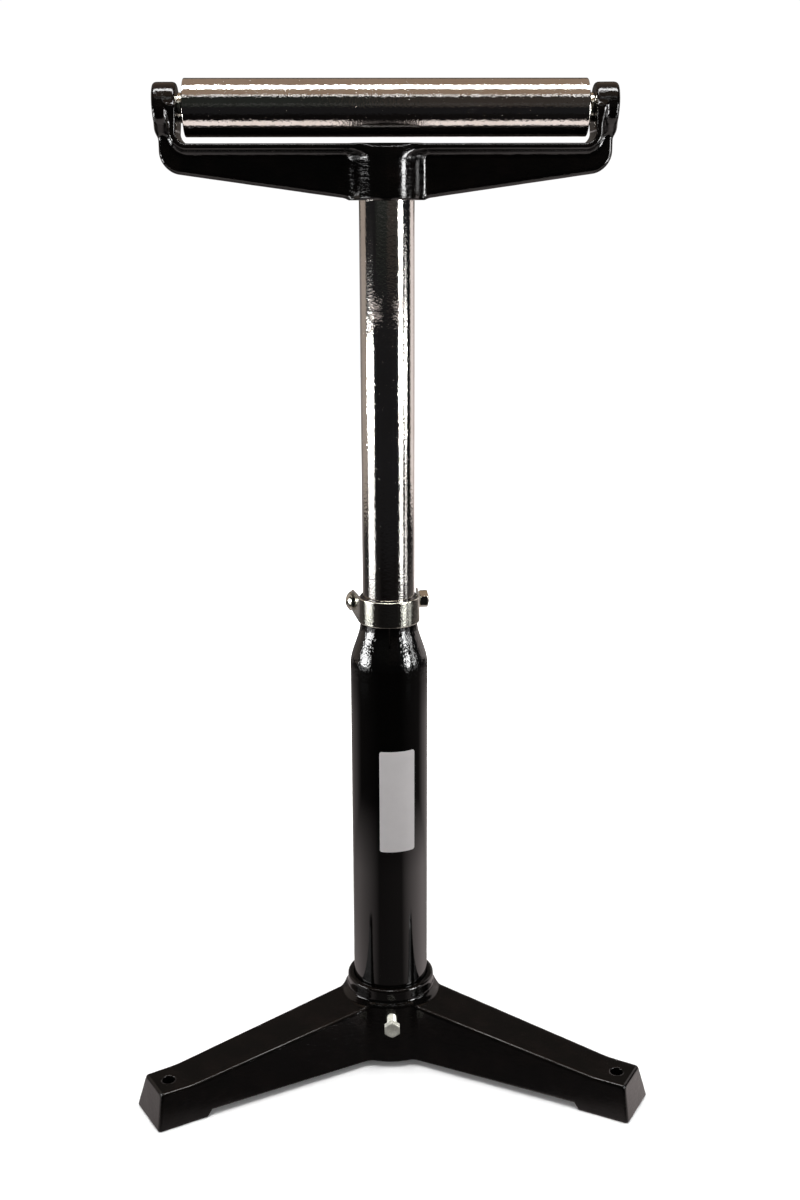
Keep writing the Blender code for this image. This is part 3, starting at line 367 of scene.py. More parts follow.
class Board:
    """The node tree of one material, in the object's own coordinates."""

    def __init__(self, name: str) -> None:
        """Makes the material with its shader and coordinates.

        Args:
            name: Name of the material.
        """
        self.material = bpy.data.materials.new(name)
        self.material.use_nodes = True
        self.tree = self.material.node_tree
        self.shader = self.tree.nodes["Principled BSDF"]
        self.place = self.tree.nodes.new("ShaderNodeTexCoord").outputs["Object"]

    def set(self, **values: float) -> None:
        """Sets sockets of the shader; the underscores in the names stand for spaces."""
        for name, value in values.items():
            self.shader.inputs[name.replace("_", " ")].default_value = value

    def fill(self, target: Socket, value: Value) -> None:
        """Links a socket to an input, or sets a plain value there."""
        if isinstance(value, bpy.types.NodeSocket):
            self.tree.links.new(value, target)
        else:
            target.default_value = value

    def node(self, kind: str, **links: Value) -> bpy.types.Node:
        """Adds a node and fills its inputs.

        Args:
            kind: The node's type.
            links: Inputs by name, with underscores for spaces: a socket is linked, a value is set.

        Returns:
            The node.
        """
        made = self.tree.nodes.new(kind)
        for name, value in links.items():
            self.fill(made.inputs[name.replace("_", " ")], value)
        return made

    def stretched(self, scale: Corner) -> Socket:
        """Returns the coordinates scaled by three factors."""
        return self.node("ShaderNodeMapping", Vector=self.place, Scale=scale).outputs["Vector"]

    def noise(
        self, scale: float, detail: float = 3.0, stretch: Corner = (1.0, 1.0, 1.0), rough: float = 0.55
    ) -> Socket:
        """Returns fractal noise from 0 to 1.

        Args:
            scale: Features a metre.
            detail: Number of finer layers.
            stretch: Factors on the three coordinates.
            rough: Share of each finer layer.

        Returns:
            The noise.
        """
        made = self.node(
            "ShaderNodeTexNoise", Vector=self.stretched(stretch), Scale=scale, Detail=detail, Roughness=rough
        )
        return made.outputs["Fac"]

    def cells(self, scale: float, output: str = "Distance") -> Socket:
        """Returns a cell texture's distance or colour, with so many cells a metre."""
        return self.node("ShaderNodeTexVoronoi", Vector=self.place, Scale=scale).outputs[output]

    def ramp(self, source: Socket, low: float, high: float, to: Span) -> Socket:
        """Returns a value carried from one range to another and held inside it.

        Args:
            source: The value.
            low: Start of its range.
            high: End of its range.
            to: The new range.

        Returns:
            The new value.
        """
        made = self.node(
            "ShaderNodeMapRange", Value=source, From_Min=low, From_Max=high, To_Min=to[0], To_Max=to[1]
        )
        return made.outputs["Result"]

    def times(self, a: Socket, b: Value, way: str = "MULTIPLY") -> Socket:
        """Returns two values multiplied, or put together by another of the math node's ways."""
        made = self.tree.nodes.new("ShaderNodeMath")
        made.operation = way
        for target, value in zip(made.inputs, (a, b)):
            self.fill(target, value)
        return made.outputs["Value"]

    def height_band(self, low: float, high: float, soft: float) -> Socket:
        """Returns 1 between two heights of the stand and 0 beyond them.

        Args:
            low: Lower height.
            high: Upper height.
            soft: Length of each change.

        Returns:
            The share.
        """
        z = self.node("ShaderNodeSeparateXYZ", Vector=self.place).outputs["Z"]
        rise = self.ramp(z, low, low + soft, (0.0, 1.0))
        return self.times(rise, self.ramp(z, high - soft, high, (1.0, 0.0)))

    def reach(self) -> Socket:
        """Returns the level distance from the column's axis."""
        flat = self.node("ShaderNodeVectorMath", Vector=self.place)
        flat.operation = "MULTIPLY_ADD"
        flat.inputs[1].default_value = (1.0, 1.0, 0.0)
        flat.inputs[2].default_value = (0.0, -AT.column_y, 0.0)
        length = self.tree.nodes.new("ShaderNodeVectorMath")
        length.operation = "LENGTH"
        self.tree.links.new(flat.outputs["Vector"], length.inputs[0])
        return length.outputs["Value"]

    def upright(self) -> Socket:
        """Returns 1 on upright faces of the piece and 0 on level ones."""
        normal = self.tree.nodes.new("ShaderNodeTexCoord").outputs["Normal"]
        lean = self.times(self.node("ShaderNodeSeparateXYZ", Vector=normal).outputs["Z"], 0.0, "ABSOLUTE")
        return self.ramp(lean, 0.45, 0.80, (1.0, 0.0))

    def mixed(self, share: Socket, a: Value, b: Value) -> Socket:
        """Returns a colour between two, by a share."""
        made = self.tree.nodes.new("ShaderNodeMix")
        made.data_type = "RGBA"
        for index, value in ((0, share), (6, a), (7, b)):
            self.fill(made.inputs[index], value)
        return made.outputs[2]

    def bumped(self, layers: Sequence[Tuple[Socket, float]]) -> None:
        """Puts layers of relief on the shader, each a height from 0 to 1 and its depth in metres."""
        normal = None
        for height, depth in layers:
            bump = self.node("ShaderNodeBump", Height=height, Distance=depth, Strength=1.0)
            if normal is not None:
                self.tree.links.new(normal, bump.inputs["Normal"])
            normal = bump.outputs["Normal"]
        self.tree.links.new(normal, self.shader.inputs["Normal"])

    def wire(self, source: Socket, name: str) -> None:
        """Links a value or colour to a socket of the shader."""
        self.tree.links.new(source, self.shader.inputs[name])


@dataclass(frozen=True)
class CastPaint:
    """Gloss black paint over sand-cast iron: faint patches, sand grain, pits and short level streaks."""

    name: str = "gloss_black_cast_paint"
    slot: Slot = Slot.CASTING_PAINT
    colour: Colour = (0.0015, 0.0013, 0.0012, 1.0)
    worn: Colour = (0.0035, 0.0024, 0.0021, 1.0)
    roughness: Tuple[float, float] = (0.06, 0.11)
    grain_depth: float = 0.00007
    pit_depth: float = 0.00003
    streak_depth: float = 0.00004

    def build(self) -> bpy.types.Material:
        """Returns the material."""
        board = Board(self.name)
        board.set(Metallic=0.0, Specular_IOR_Level=0.40)
        patches = board.noise(45.0, 2.0)
        patches = board.ramp(patches, 0.45, 0.75, (0.0, 1.0))
        board.wire(board.mixed(patches, self.colour, self.worn), "Base Color")
        board.wire(board.ramp(board.noise(260.0, 3.0), 0.35, 0.70, self.roughness), "Roughness")
        grain = board.noise(470.0, 2.0)
        pits = board.ramp(board.cells(330.0), 0.05, 0.32, (0.0, 1.0))
        streaks = board.ramp(board.noise(120.0, 3.0, (1.0, 1.0, 6.0)), 0.55, 0.68, (1.0, 0.0))
        streaks = board.times(streaks, board.upright())
        board.bumped(((grain, self.grain_depth), (pits, self.pit_depth), (streaks, self.streak_depth)))
        return board.material


@dataclass(frozen=True)
class TubePaint:
    """Gloss black paint on drawn tube: a fine orange peel, hammered where the neck is swaged."""

    name: str = "gloss_black_tube_paint"
    slot: Slot = Slot.TUBE_PAINT
    colour: Colour = (0.0015, 0.0014, 0.0013, 1.0)
    dust: Colour = (0.006, 0.005, 0.005, 1.0)
    roughness: Span = (0.05, 0.10)
    peel_depth: float = 0.000018
    neck_depth: float = 0.00032
    neck: Tuple[float, float] = (0.400, 0.490)

    def build(self) -> bpy.types.Material:
        """Returns the material."""
        board = Board(self.name)
        board.set(Metallic=0.0, Specular_IOR_Level=0.5)
        dust = board.ramp(board.noise(900.0, 4.0), 0.66, 0.76, (0.0, 1.0))
        board.wire(board.mixed(dust, self.colour, self.dust), "Base Color")
        board.wire(board.ramp(board.noise(70.0, 3.0), 0.35, 0.70, self.roughness), "Roughness")
        neck = board.height_band(self.neck[0], self.neck[1], 0.012)
        hammered = board.times(board.noise(430.0, 1.5, (1.0, 1.0, 0.75)), neck)
        board.bumped(((board.noise(480.0, 2.0), self.peel_depth), (hammered, self.neck_depth)))
        return board.material


@dataclass(frozen=True)
class BrightSteel:
    """Ground and polished steel: fine marks across the axis, a fine grain, a brown tinge and specks."""

    name: str
    slot: Slot
    across: Corner
    colour: Colour = (0.74, 0.72, 0.69, 1.0)
    tint: Colour = (0.56, 0.50, 0.44, 1.0)
    speck: Colour = (0.22, 0.18, 0.15, 1.0)
    roughness: Tuple[float, float] = (0.035, 0.085)
    mark_depth: float = 0.0000016
    grain_depth: float = 0.00017
    pit_depth: float = 0.00006

    def build(self) -> bpy.types.Material:
        """Returns the material."""
        board = Board(self.name)
        board.set(Metallic=1.0)
        marks = board.noise(1.0, 4.0, self.across, 0.7)
        specks = board.ramp(board.noise(700.0, 4.0), 0.68, 0.74, (0.0, 1.0))
        tinge = board.ramp(board.noise(22.0, 3.0), 0.35, 0.75, (0.0, 0.45))
        tone = board.mixed(tinge, self.colour, self.tint)
        board.wire(board.mixed(specks, tone, self.speck), "Base Color")
        board.wire(board.ramp(marks, 0.30, 0.75, self.roughness), "Roughness")
        pits = board.ramp(board.noise(700.0, 1.0), 0.76, 0.80, (0.0, 1.0))
        grain = board.noise(480.0, 2.0)
        board.bumped(((grain, self.grain_depth), (pits, self.pit_depth), (marks, self.mark_depth)))
        return board.material


@dataclass(frozen=True)
class ZincPlate:
    """Zinc plate: small crystals between two pale yellow shades, under a fine relief."""

    name: str = "bright_zinc_plate"
    slot: Slot = Slot.ZINC_PLATE
    colour: Colour = (0.84, 0.83, 0.72, 1.0)
    shade: Colour = (0.62, 0.62, 0.57, 1.0)
    crystals: float = 1100.0
    relief: float = 0.00013
    roughness: Tuple[float, float] = (0.05, 0.10)
    metallic: float = 1.0

    def build(self) -> bpy.types.Material:
        """Returns the material."""
        board = Board(self.name)
        board.set(Metallic=self.metallic)
        spangle = board.cells(self.crystals, "Color")
        board.wire(board.mixed(spangle, self.colour, self.shade), "Base Color")
        board.wire(board.ramp(spangle, 0.1, 0.9, self.roughness), "Roughness")
        grain = board.noise(620.0, 2.0)
        board.bumped(((grain, self.relief), (board.cells(self.crystals), 0.4 * self.relief)))
        return board.material


@dataclass(frozen=True)
class Moulded:
    """Moulded nylon: off-white, matt, with faint flow marks."""

    name: str = "natural_nylon"
    slot: Slot = Slot.NYLON
    colour: Colour = (0.70, 0.68, 0.60, 1.0)
    flow: Colour = (0.60, 0.58, 0.50, 1.0)

    def build(self) -> bpy.types.Material:
        """Returns the material."""
        board = Board(self.name)
        board.set(Metallic=0.0, Subsurface_Weight=0.15, Subsurface_Scale=0.002)
        marks = board.noise(120.0, 3.0, (1.0, 1.0, 3.0))
        board.wire(board.mixed(marks, self.colour, self.flow), "Base Color")
        board.wire(board.ramp(board.noise(300.0, 2.0), 0.3, 0.7, (0.42, 0.60)), "Roughness")
        board.bumped(((board.noise(800.0, 2.0), 0.00001),))
        return board.material


@dataclass(frozen=True)
class LabelFilm:
    """Bare pale label film, a little grey, with a soft sheen and tiny creases."""

    name: str = "bare_label_film"
    colour: Colour = (0.78, 0.75, 0.75, 1.0)
    shade: Colour = (0.70, 0.67, 0.67, 1.0)

    def build(self) -> bpy.types.Material:
        """Returns the material."""
        board = Board(self.name)
        board.set(Metallic=0.0)
        board.wire(board.mixed(board.noise(60.0, 4.0), self.colour, self.shade), "Base Color")
        board.wire(board.ramp(board.noise(200.0, 2.0), 0.3, 0.7, (0.30, 0.42)), "Roughness")
        board.bumped(((board.noise(150.0, 3.0), 0.00004),))
        return board.material


@dataclass
class Paintbox:
    """The finished materials, each made once."""

    made: dict = field(default_factory=dict)

    def get(self, finish: object) -> bpy.types.Material:
        """Returns the material of a finish."""
        if finish.name not in self.made:
            self.made[finish.name] = finish.build()
        return self.made[finish.name]


PAINTBOX = Paintbox()
CAST = CastPaint()
PAINTED_TUBE = TubePaint()
MAST_STEEL = BrightSteel("polished_mast_steel", Slot.POLISHED_STEEL, (45.0, 45.0, 2600.0))
ROLLER_STEEL = BrightSteel("polished_roller_steel", Slot.POLISHED_STEEL, (2600.0, 45.0, 45.0))
SHAFT = BrightSteel("turned_shaft_steel", Slot.SHAFT_STEEL, (2200.0, 120.0, 120.0), roughness=(0.18, 0.32))
BEARING = BrightSteel("bearing_steel", Slot.BEARING_STEEL, (1800.0, 150.0, 150.0), roughness=(0.10, 0.20))
ZINC = ZincPlate()
DULL_ZINC = ZincPlate("dull_zinc_plate", relief=0.00010, roughness=(0.30, 0.42), metallic=0.45)
NYLON = Moulded()
LABEL = LabelFilm()


def show(mesh: bpy.types.Mesh, finish: object, body: str, nodes: Sequence[str] = ()) -> bpy.types.Object:
    """Puts a finished mesh in the scene, on its body and in place of its nodes.

    Args:
        mesh: The mesh, in the stand's frame.
        finish: Its finish.
        body: Name of the body that carries it.
        nodes: The nodes that it replaces.

    Returns:
        The object.
    """
    made = bpy.data.objects.new(mesh.name, mesh)
    mesh.materials.append(PAINTBOX.get(finish))
    bpy.context.scene.collection.objects.link(made)
    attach(made, body)
    if nodes:
        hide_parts(*nodes)
    slot = getattr(finish, "slot", None)
    replaced = ", ".join(nodes) or "nothing"
    LOG.info("%s: %d faces, rides on %s, replaces %s", mesh.name, len(mesh.polygons), body, replaced)
    return made


def dress(node: str, finish: object) -> None:
    """Gives a node that stays in view its finish."""
    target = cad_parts[node]
    target.data.materials.clear()
    target.data.materials.append(PAINTBOX.get(finish))
    LOG.info("%s: keeps its solid, finished in %s", node, finish.name)


# ---------------------------------------------------------------------------------------------
# Places that the frame gives
# ---------------------------------------------------------------------------------------------


@dataclass(frozen=True)
class Places:
    """Where the frame's nodes stand, read from their boxes."""

    column_y: float
    tube_foot: float
    tube_top: float
    boss_bottom: float
    eye_outside: float
    roller_z: float

    @classmethod
    def read(cls) -> "Places":
        """Returns the places."""
        tube_low, tube_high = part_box("outer_tube")
        head_low, head_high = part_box("head_casting")
        roller_low, roller_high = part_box("roller_tube")
        return cls(
            column_y=(tube_low.y + tube_high.y) / 2,
            tube_foot=tube_low.z,
            tube_top=tube_high.z,
            boss_bottom=head_low.z,
            eye_outside=head_high.x,
            roller_z=(roller_low.z + roller_high.z) / 2,
        )


AT = Places.read()


def across(x: float) -> Matrix:
    """Returns the frame of a turned piece on the roller's axis, with its height along +X."""
    return Matrix.Translation((x, AT.column_y, AT.roller_z)) @ Matrix.Rotation(math.pi / 2, 4, "Y")


def upright() -> Matrix:
    """Returns the frame of a turned piece on the column's axis."""
    return Matrix.Translation((0.0, AT.column_y, 0.0))


# ---------------------------------------------------------------------------------------------
# Base casting
# ---------------------------------------------------------------------------------------------


@dataclass(frozen=True)
class BaseCasting:
    """The cast base: a hub with a lip, and three hollow drafted legs with drilled feet."""

    draft: float = math.radians(12.0)
    reach: float = 0.2643
    foot_height: float = 0.0350
    foot_flat: float = 0.0323
    foot_width: float = 0.0403
    pad_length: float = 0.0500
    pad_step: float = 0.0060
    pad_slant: float = 0.0050
    hole_radius: float = 0.0060
    hole_inset: float = 0.0155
    root_width: float = 0.0520
    root_height: float = 0.0600
    wall: float = 0.0070
    hub_radius: float = 0.0440
    hub_height: float = 0.0780
    lip_height: float = 0.0120
    flare: float = 0.0035
    socket_radius: float = 0.0378
    socket_floor: float = 0.0120
    opening_radius: float = 0.0333
    screw_height: float = 0.0500
    screw_bore: float = 0.0053
    leg_turns: Tuple[float, float, float] = (90.0, 210.0, 330.0)
    edge: float = 0.0032
    fillet: float = 0.0170
    hub_fillet: float = 0.0045
    hollow_ease: float = 0.0060
    skirt_edge: float = 0.0030
    lip_edge: float = 0.0040
    lip_fillet: float = 0.0055
    unevenness: float = 0.00007
    underside_edge: float = 0.0022
    rim_edge: float = 0.0012
    cut_edge: float = 0.0016
    socket_edge: float = 0.0014
    bore_edge: float = 0.0010
    cell: float = 0.0016
    quick_cell: float = 0.0020

    def leg_top(self, reach: Array) -> Array:
        """Returns a leg's height: level over the foot, then a straight rise to the hub."""
        kink = self.reach - self.foot_flat
        slope = (self.root_height - self.foot_height) / (kink - self.hub_radius)
        return self.foot_height + slope * blend_max(kink - reach, np.zeros_like(reach), 0.004)

    def legs(self, x: Array, y: Array, z: Array) -> Tuple[Array, Array, Array]:
        """Returns the three legs, their hollows with the foot holes, and the height of the underside.

        A leg is what lies under its top, between its two drafted sides and inside its drafted end.
        The hollow is the same shape, smaller by the wall. The underside is level at the pad's step
        and slants down to the floor at the foot.
        """
        tan, cos = math.tan(self.draft), math.cos(self.draft)
        foot_end = self.reach + self.foot_height * tan
        pad_start = foot_end - self.pad_length
        roof_cosine, leg_start = 0.99, 0.020
        solid, cut, pad = None, None, 0.0
        for turn in np.radians(self.leg_turns):
            u = x * math.cos(turn) + y * math.sin(turn)
            v = np.abs(y * math.cos(turn) - x * math.sin(turn))
            top = self.leg_top(u)
            share = np.maximum(0.0, (self.reach - u) / (self.reach - self.hub_radius))
            half = (self.foot_width + (self.root_width - self.foot_width) * share) / 2 + (top - z) * tan
            side = (v - half) * cos
            roof = (z - top) * roof_cosine
            end = (u - foot_end + z * tan) * cos
            leg = blend_max(blend_max(side, roof, self.edge), end, self.edge)
            leg = np.maximum(leg, leg_start - u)
            hollow = blend_max(side + self.wall, roof + self.wall, self.hollow_ease)
            hollow = blend_max(hollow, self.hub_radius + self.wall - u, self.hollow_ease)
            hollow = blend_max(hollow, u - (pad_start - self.pad_slant - self.wall), self.hollow_ease)
            hole = np.hypot(u - (self.reach - self.hole_inset), v) - self.hole_radius
            hollow = np.minimum(hollow, hole)
            rise = np.clip((u - pad_start + self.pad_slant) / self.pad_slant, 0.0, 1.0)
            pad = np.maximum(pad, rise)
            solid = leg if solid is None else blend_min(solid, leg, self.fillet)
            cut = hollow if cut is None else np.minimum(cut, hollow)
        return solid, cut, self.pad_step * (1.0 - pad)

    def shape(self, x: Array, y: Array, z: Array) -> Array:
        """Returns the base's field: hub and legs joined by fillets, less the hollows and bores.

        The hub is a drafted skirt and a lip of a smaller radius; the socket, the opening below it,
        the set screw's bore, the hollows and the foot holes are cut with eased edges.
        """
        y = y - AT.column_y
        radius = np.hypot(x, y)
        skirt_top = self.hub_height - self.lip_height - self.flare
        skirt = radius - self.skirt_radius(z)
        skirt = blend_max(skirt * math.cos(self.draft), z - skirt_top, self.skirt_edge)
        lip = blend_max(radius - self.hub_radius, z - self.hub_height, self.lip_edge)
        hub = blend_min(lip, skirt, self.lip_fillet)
        legs, cut, underside = self.legs(x, y, z)
        body = blend_min(hub, legs, self.hub_fillet) + cast_unevenness(x, y, z, self.unevenness)
        body = blend_max(body, underside - z, self.underside_edge)
        body = blend_max(body, z - self.hub_height, self.rim_edge)
        body = blend_max(body, -cut, self.cut_edge)
        socket = np.maximum(radius - self.socket_radius, self.socket_floor - z)
        body = blend_max(body, -socket, self.socket_edge)
        body = np.maximum(body, self.opening_radius - radius)
        bore = np.maximum(np.hypot(x, z - self.screw_height) - self.screw_bore, y)
        return blend_max(body, -bore, self.bore_edge)

    def skirt_radius(self, height: float) -> float:
        """Returns the drafted skirt's radius at a height."""
        skirt_top = self.hub_height - self.lip_height - self.flare
        return self.hub_radius + self.flare + (skirt_top - height) * math.tan(self.draft)

    def build(self) -> None:
        """Builds and dresses the base casting."""
        low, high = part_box("base_casting")
        surface = FieldSurface(self.shape, tuple(low), tuple(high), self.cell)
        show(surface.mesh("cast_base"), CAST, "base", ["base_casting"])


# ---------------------------------------------------------------------------------------------
# Outer tube and its label
# ---------------------------------------------------------------------------------------------


@dataclass(frozen=True)
class OuterTube:
    """The painted tube: swaged to a neck, slit front and back, with a bare label on its front."""

    radius: float = 0.0375
    wall: float = 0.0030
    neck_bore: float = 0.0253
    neck_radius: float = 0.0276
    swage_top: float = 0.4540
    swage_length: float = 0.0420
    slit_width: float = 0.0016
    slit_length: float = 0.0450
    steps: int = 192
    label_turns: Tuple[float, float] = (-16.4, 38.8)
    label_heights: Tuple[float, float] = (0.2273, 0.3326)
    label_thickness: float = 0.00015
    label_gap: float = 0.00002
    label_corner: float = 0.0025

    def wall_radius(self, height: Array, wide: float, narrow: float) -> Array:
        """Returns a wall's radius: wide, then narrow by the smooth step 3s2 - 2s3 along the swage."""
        share = np.clip((height - self.swage_top + self.swage_length) / self.swage_length, 0.0, 1.0)
        return wide + (narrow - wide) * share * share * (3.0 - 2.0 * share)

    def tube_mesh(self) -> bpy.types.Mesh:
        """Returns the tube: an outer and an inner grid of heights by angles, joined at the rims.

        In each row the angles are spread so that a column runs along each edge of both slits, at
        asin(half the slit / radius) from the front or the back. The faces in the slits are left out
        and the slits' sides and feet are closed between the two grids.
        """
        foot, top = AT.tube_foot, AT.tube_top
        slit_foot = top - self.slit_length
        plain = np.linspace(foot, self.swage_top - self.swage_length, 40)
        swage = np.linspace(self.swage_top - self.swage_length, slit_foot, 26)[1:]
        slit = np.linspace(slit_foot, top, 40)[1:]
        heights = np.concatenate([plain, swage, slit])
        first = len(plain) + len(swage) - 1
        quarter = self.steps // 4
        shares = np.linspace(0.0, 1.0, 2 * quarter + 1)
        grids = []
        for wide, narrow in ((self.radius, self.neck_radius), (self.radius - self.wall, self.neck_bore)):
            radius = self.wall_radius(heights, wide, narrow)[:, None]
            edge = np.arcsin(self.slit_width / 2 / radius)
            right = -math.pi / 2 + edge + (math.pi - 2 * edge) * shares
            turn = np.concatenate([right, right + math.pi], axis=1)
            level = heights[:, None] + 0 * turn
            grids.append(np.stack([radius * np.cos(turn), radius * np.sin(turn), level], axis=2))
        rows, columns = grids[0].shape[:2]
        points = np.concatenate([grid.reshape(-1, 3) for grid in grids])
        inner = rows * columns
        i, j = np.meshgrid(np.arange(rows - 1), np.arange(columns), indexing="ij")
        open_column = (j == 2 * quarter) | (j == columns - 1)
        keep = ~(open_column & (i >= first))
        shell = grid_quads(i, j, i + 1, (j + 1) % columns, columns)
        quads = [shell[keep], shell[keep] + inner]
        edge_columns = np.array([0, 2 * quarter, 2 * quarter + 1, columns - 1])
        i, j = np.meshgrid(np.arange(first, rows - 1), edge_columns, indexing="ij")
        lower, upper = i * columns + j, (i + 1) * columns + j
        quads.append(np.stack([lower, upper, upper + inner, lower + inner], axis=2).reshape(-1, 4))
        column = np.arange(columns)
        in_slit = np.array([2 * quarter, columns - 1])
        for row, ends in ((0, column), (rows - 1, column[~np.isin(column, in_slit)]), (first, in_slit)):
            a, b = row * columns + ends, row * columns + (ends + 1) % columns
            quads.append(np.stack([a, b, b + inner, a + inner], axis=1))
        return grid_mesh("painted_tube", points, np.concatenate(quads), upright())

    def label_mesh(self) -> bpy.types.Mesh:
        """Returns the label: a thin plate bent round the tube, with rounded corners.

        A grid of angles by heights is pressed to the tube; near the corners the rows are shortened by
        the circle r - sqrt(r2 - d2), with d the depth into the corner.
        """
        low, high = self.label_heights
        rows, columns, corner = 60, 48, self.label_corner
        height = low + (high - low) * (0.5 - 0.5 * np.cos(np.linspace(0.0, math.pi, rows)))
        depth = np.maximum(0.0, corner - np.minimum(height - low, high - height))
        start, end = (math.radians(turn) for turn in self.label_turns)
        short = (corner - np.sqrt(np.maximum(0.0, corner ** 2 - depth ** 2))) / self.radius
        share = np.linspace(0.0, 1.0, columns)
        turn = (start + short)[:, None] + ((end - start) - 2 * short)[:, None] * share
        layers = []
        level = height[:, None] + 0 * turn
        for lift in (self.label_gap, self.label_thickness):
            reach = self.radius + lift
            layers.append(np.stack([reach * np.sin(turn), -reach * np.cos(turn), level], axis=2))
        points = np.concatenate([layer.reshape(-1, 3) for layer in layers])
        count = rows * columns
        i, j = np.meshgrid(np.arange(rows - 1), np.arange(columns - 1), indexing="ij")
        faces = grid_quads(i, j, i + 1, j + 1, columns).reshape(-1, 4)
        rim = np.concatenate([
            np.arange(columns - 1),
            np.arange(rows - 1) * columns + columns - 1,
            (rows - 1) * columns + np.arange(columns - 1, 0, -1),
            np.arange(rows - 1, 0, -1) * columns,
        ])
        following = np.roll(rim, -1)
        edge = np.stack([rim, following, following + count, rim + count], axis=1)
        return grid_mesh("bare_label", points, np.concatenate([faces, faces + count, edge]), upright())

    def build(self) -> None:
        """Builds and dresses the tube and its label."""
        show(self.tube_mesh(), PAINTED_TUBE, "base", ["outer_tube"])
        show(self.label_mesh(), LABEL, "base")


# ---------------------------------------------------------------------------------------------
# Fasteners and the strap clamp
# ---------------------------------------------------------------------------------------------


@dataclass(frozen=True)
class Fastener:
    """Sizes and fields that the screws, the bolt and the nut share, each about an axis of its own."""

    pitch: float = 0.0015
    thread_depth: float = 0.00065
    face_share: float = 0.97
    chamfer: float = math.radians(30.0)
    edge: float = 0.0004
    rod_scale: float = 0.7
    root_flat: float = 1.2
    end_chamfer: float = 0.0008

    def own(self, place: Matrix, x: Array, y: Array, z: Array) -> Tuple[Array, Array, Array]:
        """Returns points of the stand in a piece's own frame."""
        back = np.array(place.inverted())
        return tuple(row[0] * x + row[1] * y + row[2] * z + row[3] for row in back[:3])

    def hexagon(self, x: Array, y: Array, z: Array, flats: float, height: float) -> Array:
        """Returns a chamfered hexagon's field, from 0 to height along z, with a corner along x.

        It lies inside three pairs of flats, between its ends, and inside a cone at each end.
        """
        flat = np.maximum(np.abs(y), np.abs(HALF_ROOT_THREE * x + 0.5 * y))
        flat = np.maximum(flat, np.abs(HALF_ROOT_THREE * x - 0.5 * y)) - flats / 2
        radius = np.hypot(x, y)
        inset = np.minimum(z, height - z)
        cone = (radius - self.face_share * flats / 2) * math.sin(self.chamfer)
        cone = cone - inset * math.cos(self.chamfer)
        body = blend_max(flat, -inset, self.edge)
        return blend_max(body, cone, self.edge)

    def thread(self, x: Array, y: Array, z: Array, radius: float) -> Array:
        """Returns a threaded rod's field: its radius dips once a pitch along a helix."""
        phase = np.mod(z / self.pitch - np.arctan2(y, x) / (2 * math.pi), 1.0)
        dip = self.thread_depth * (1.0 - np.abs(2.0 * phase - 1.0)) * self.root_flat
        return (np.hypot(x, y) - radius + np.minimum(dip, self.thread_depth)) * self.rod_scale


@dataclass(frozen=True)
class SetScrew(Fastener):
    """A hexagon set screw with a threaded shank and a dished head."""

    node: str = ""
    body: str = ""
    tip: float = 0.0378
    wall: float = 0.0
    turn: float = 0.0
    height: float = 0.0
    radius: float = 0.0050
    flats: float = 0.0150
    head: float = 0.0064
    showing: float = 0.0150
    dish_radius: float = 0.0180
    dish_rise: float = 0.0172
    cell: float = 0.00028

    def place(self) -> Matrix:
        """Returns the screw's frame: out of the column at a height, along -Y or +Y."""
        start = Matrix.Translation((0.0, AT.column_y, self.height))
        return start @ Matrix.Rotation(self.turn, 4, "X") @ Matrix.Translation((0.0, 0.0, self.tip))

    def shape(self, x: Array, y: Array, z: Array) -> Array:
        """Returns the screw's field: shank, hexagon head, and a shallow dish in the head."""
        x, y, z = self.own(self.place(), x, y, z)
        length = self.wall - self.tip + self.showing
        shank = blend_max(self.thread(x, y, z, self.radius), z - length - self.head / 2, self.edge)
        shank = blend_max(shank, (np.hypot(x, y) - self.radius + self.end_chamfer - z) * SLANT_45, self.edge)
        shank = blend_max(shank, -z, self.edge)
        head = self.hexagon(y, x, z - length, self.flats, self.head)
        dish = np.sqrt(x ** 2 + y ** 2 + (z - length - self.head - self.dish_rise) ** 2) - self.dish_radius
        return blend_max(blend_min(shank, head, 0.0006), -dish, 0.0005)

    def build(self) -> None:
        """Builds and dresses the screw."""
        low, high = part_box(self.node)
        surface = FieldSurface(self.shape, tuple(low), tuple(high), self.cell)
        show(surface.mesh("zinc_" + self.node), DULL_ZINC, self.body, [self.node])


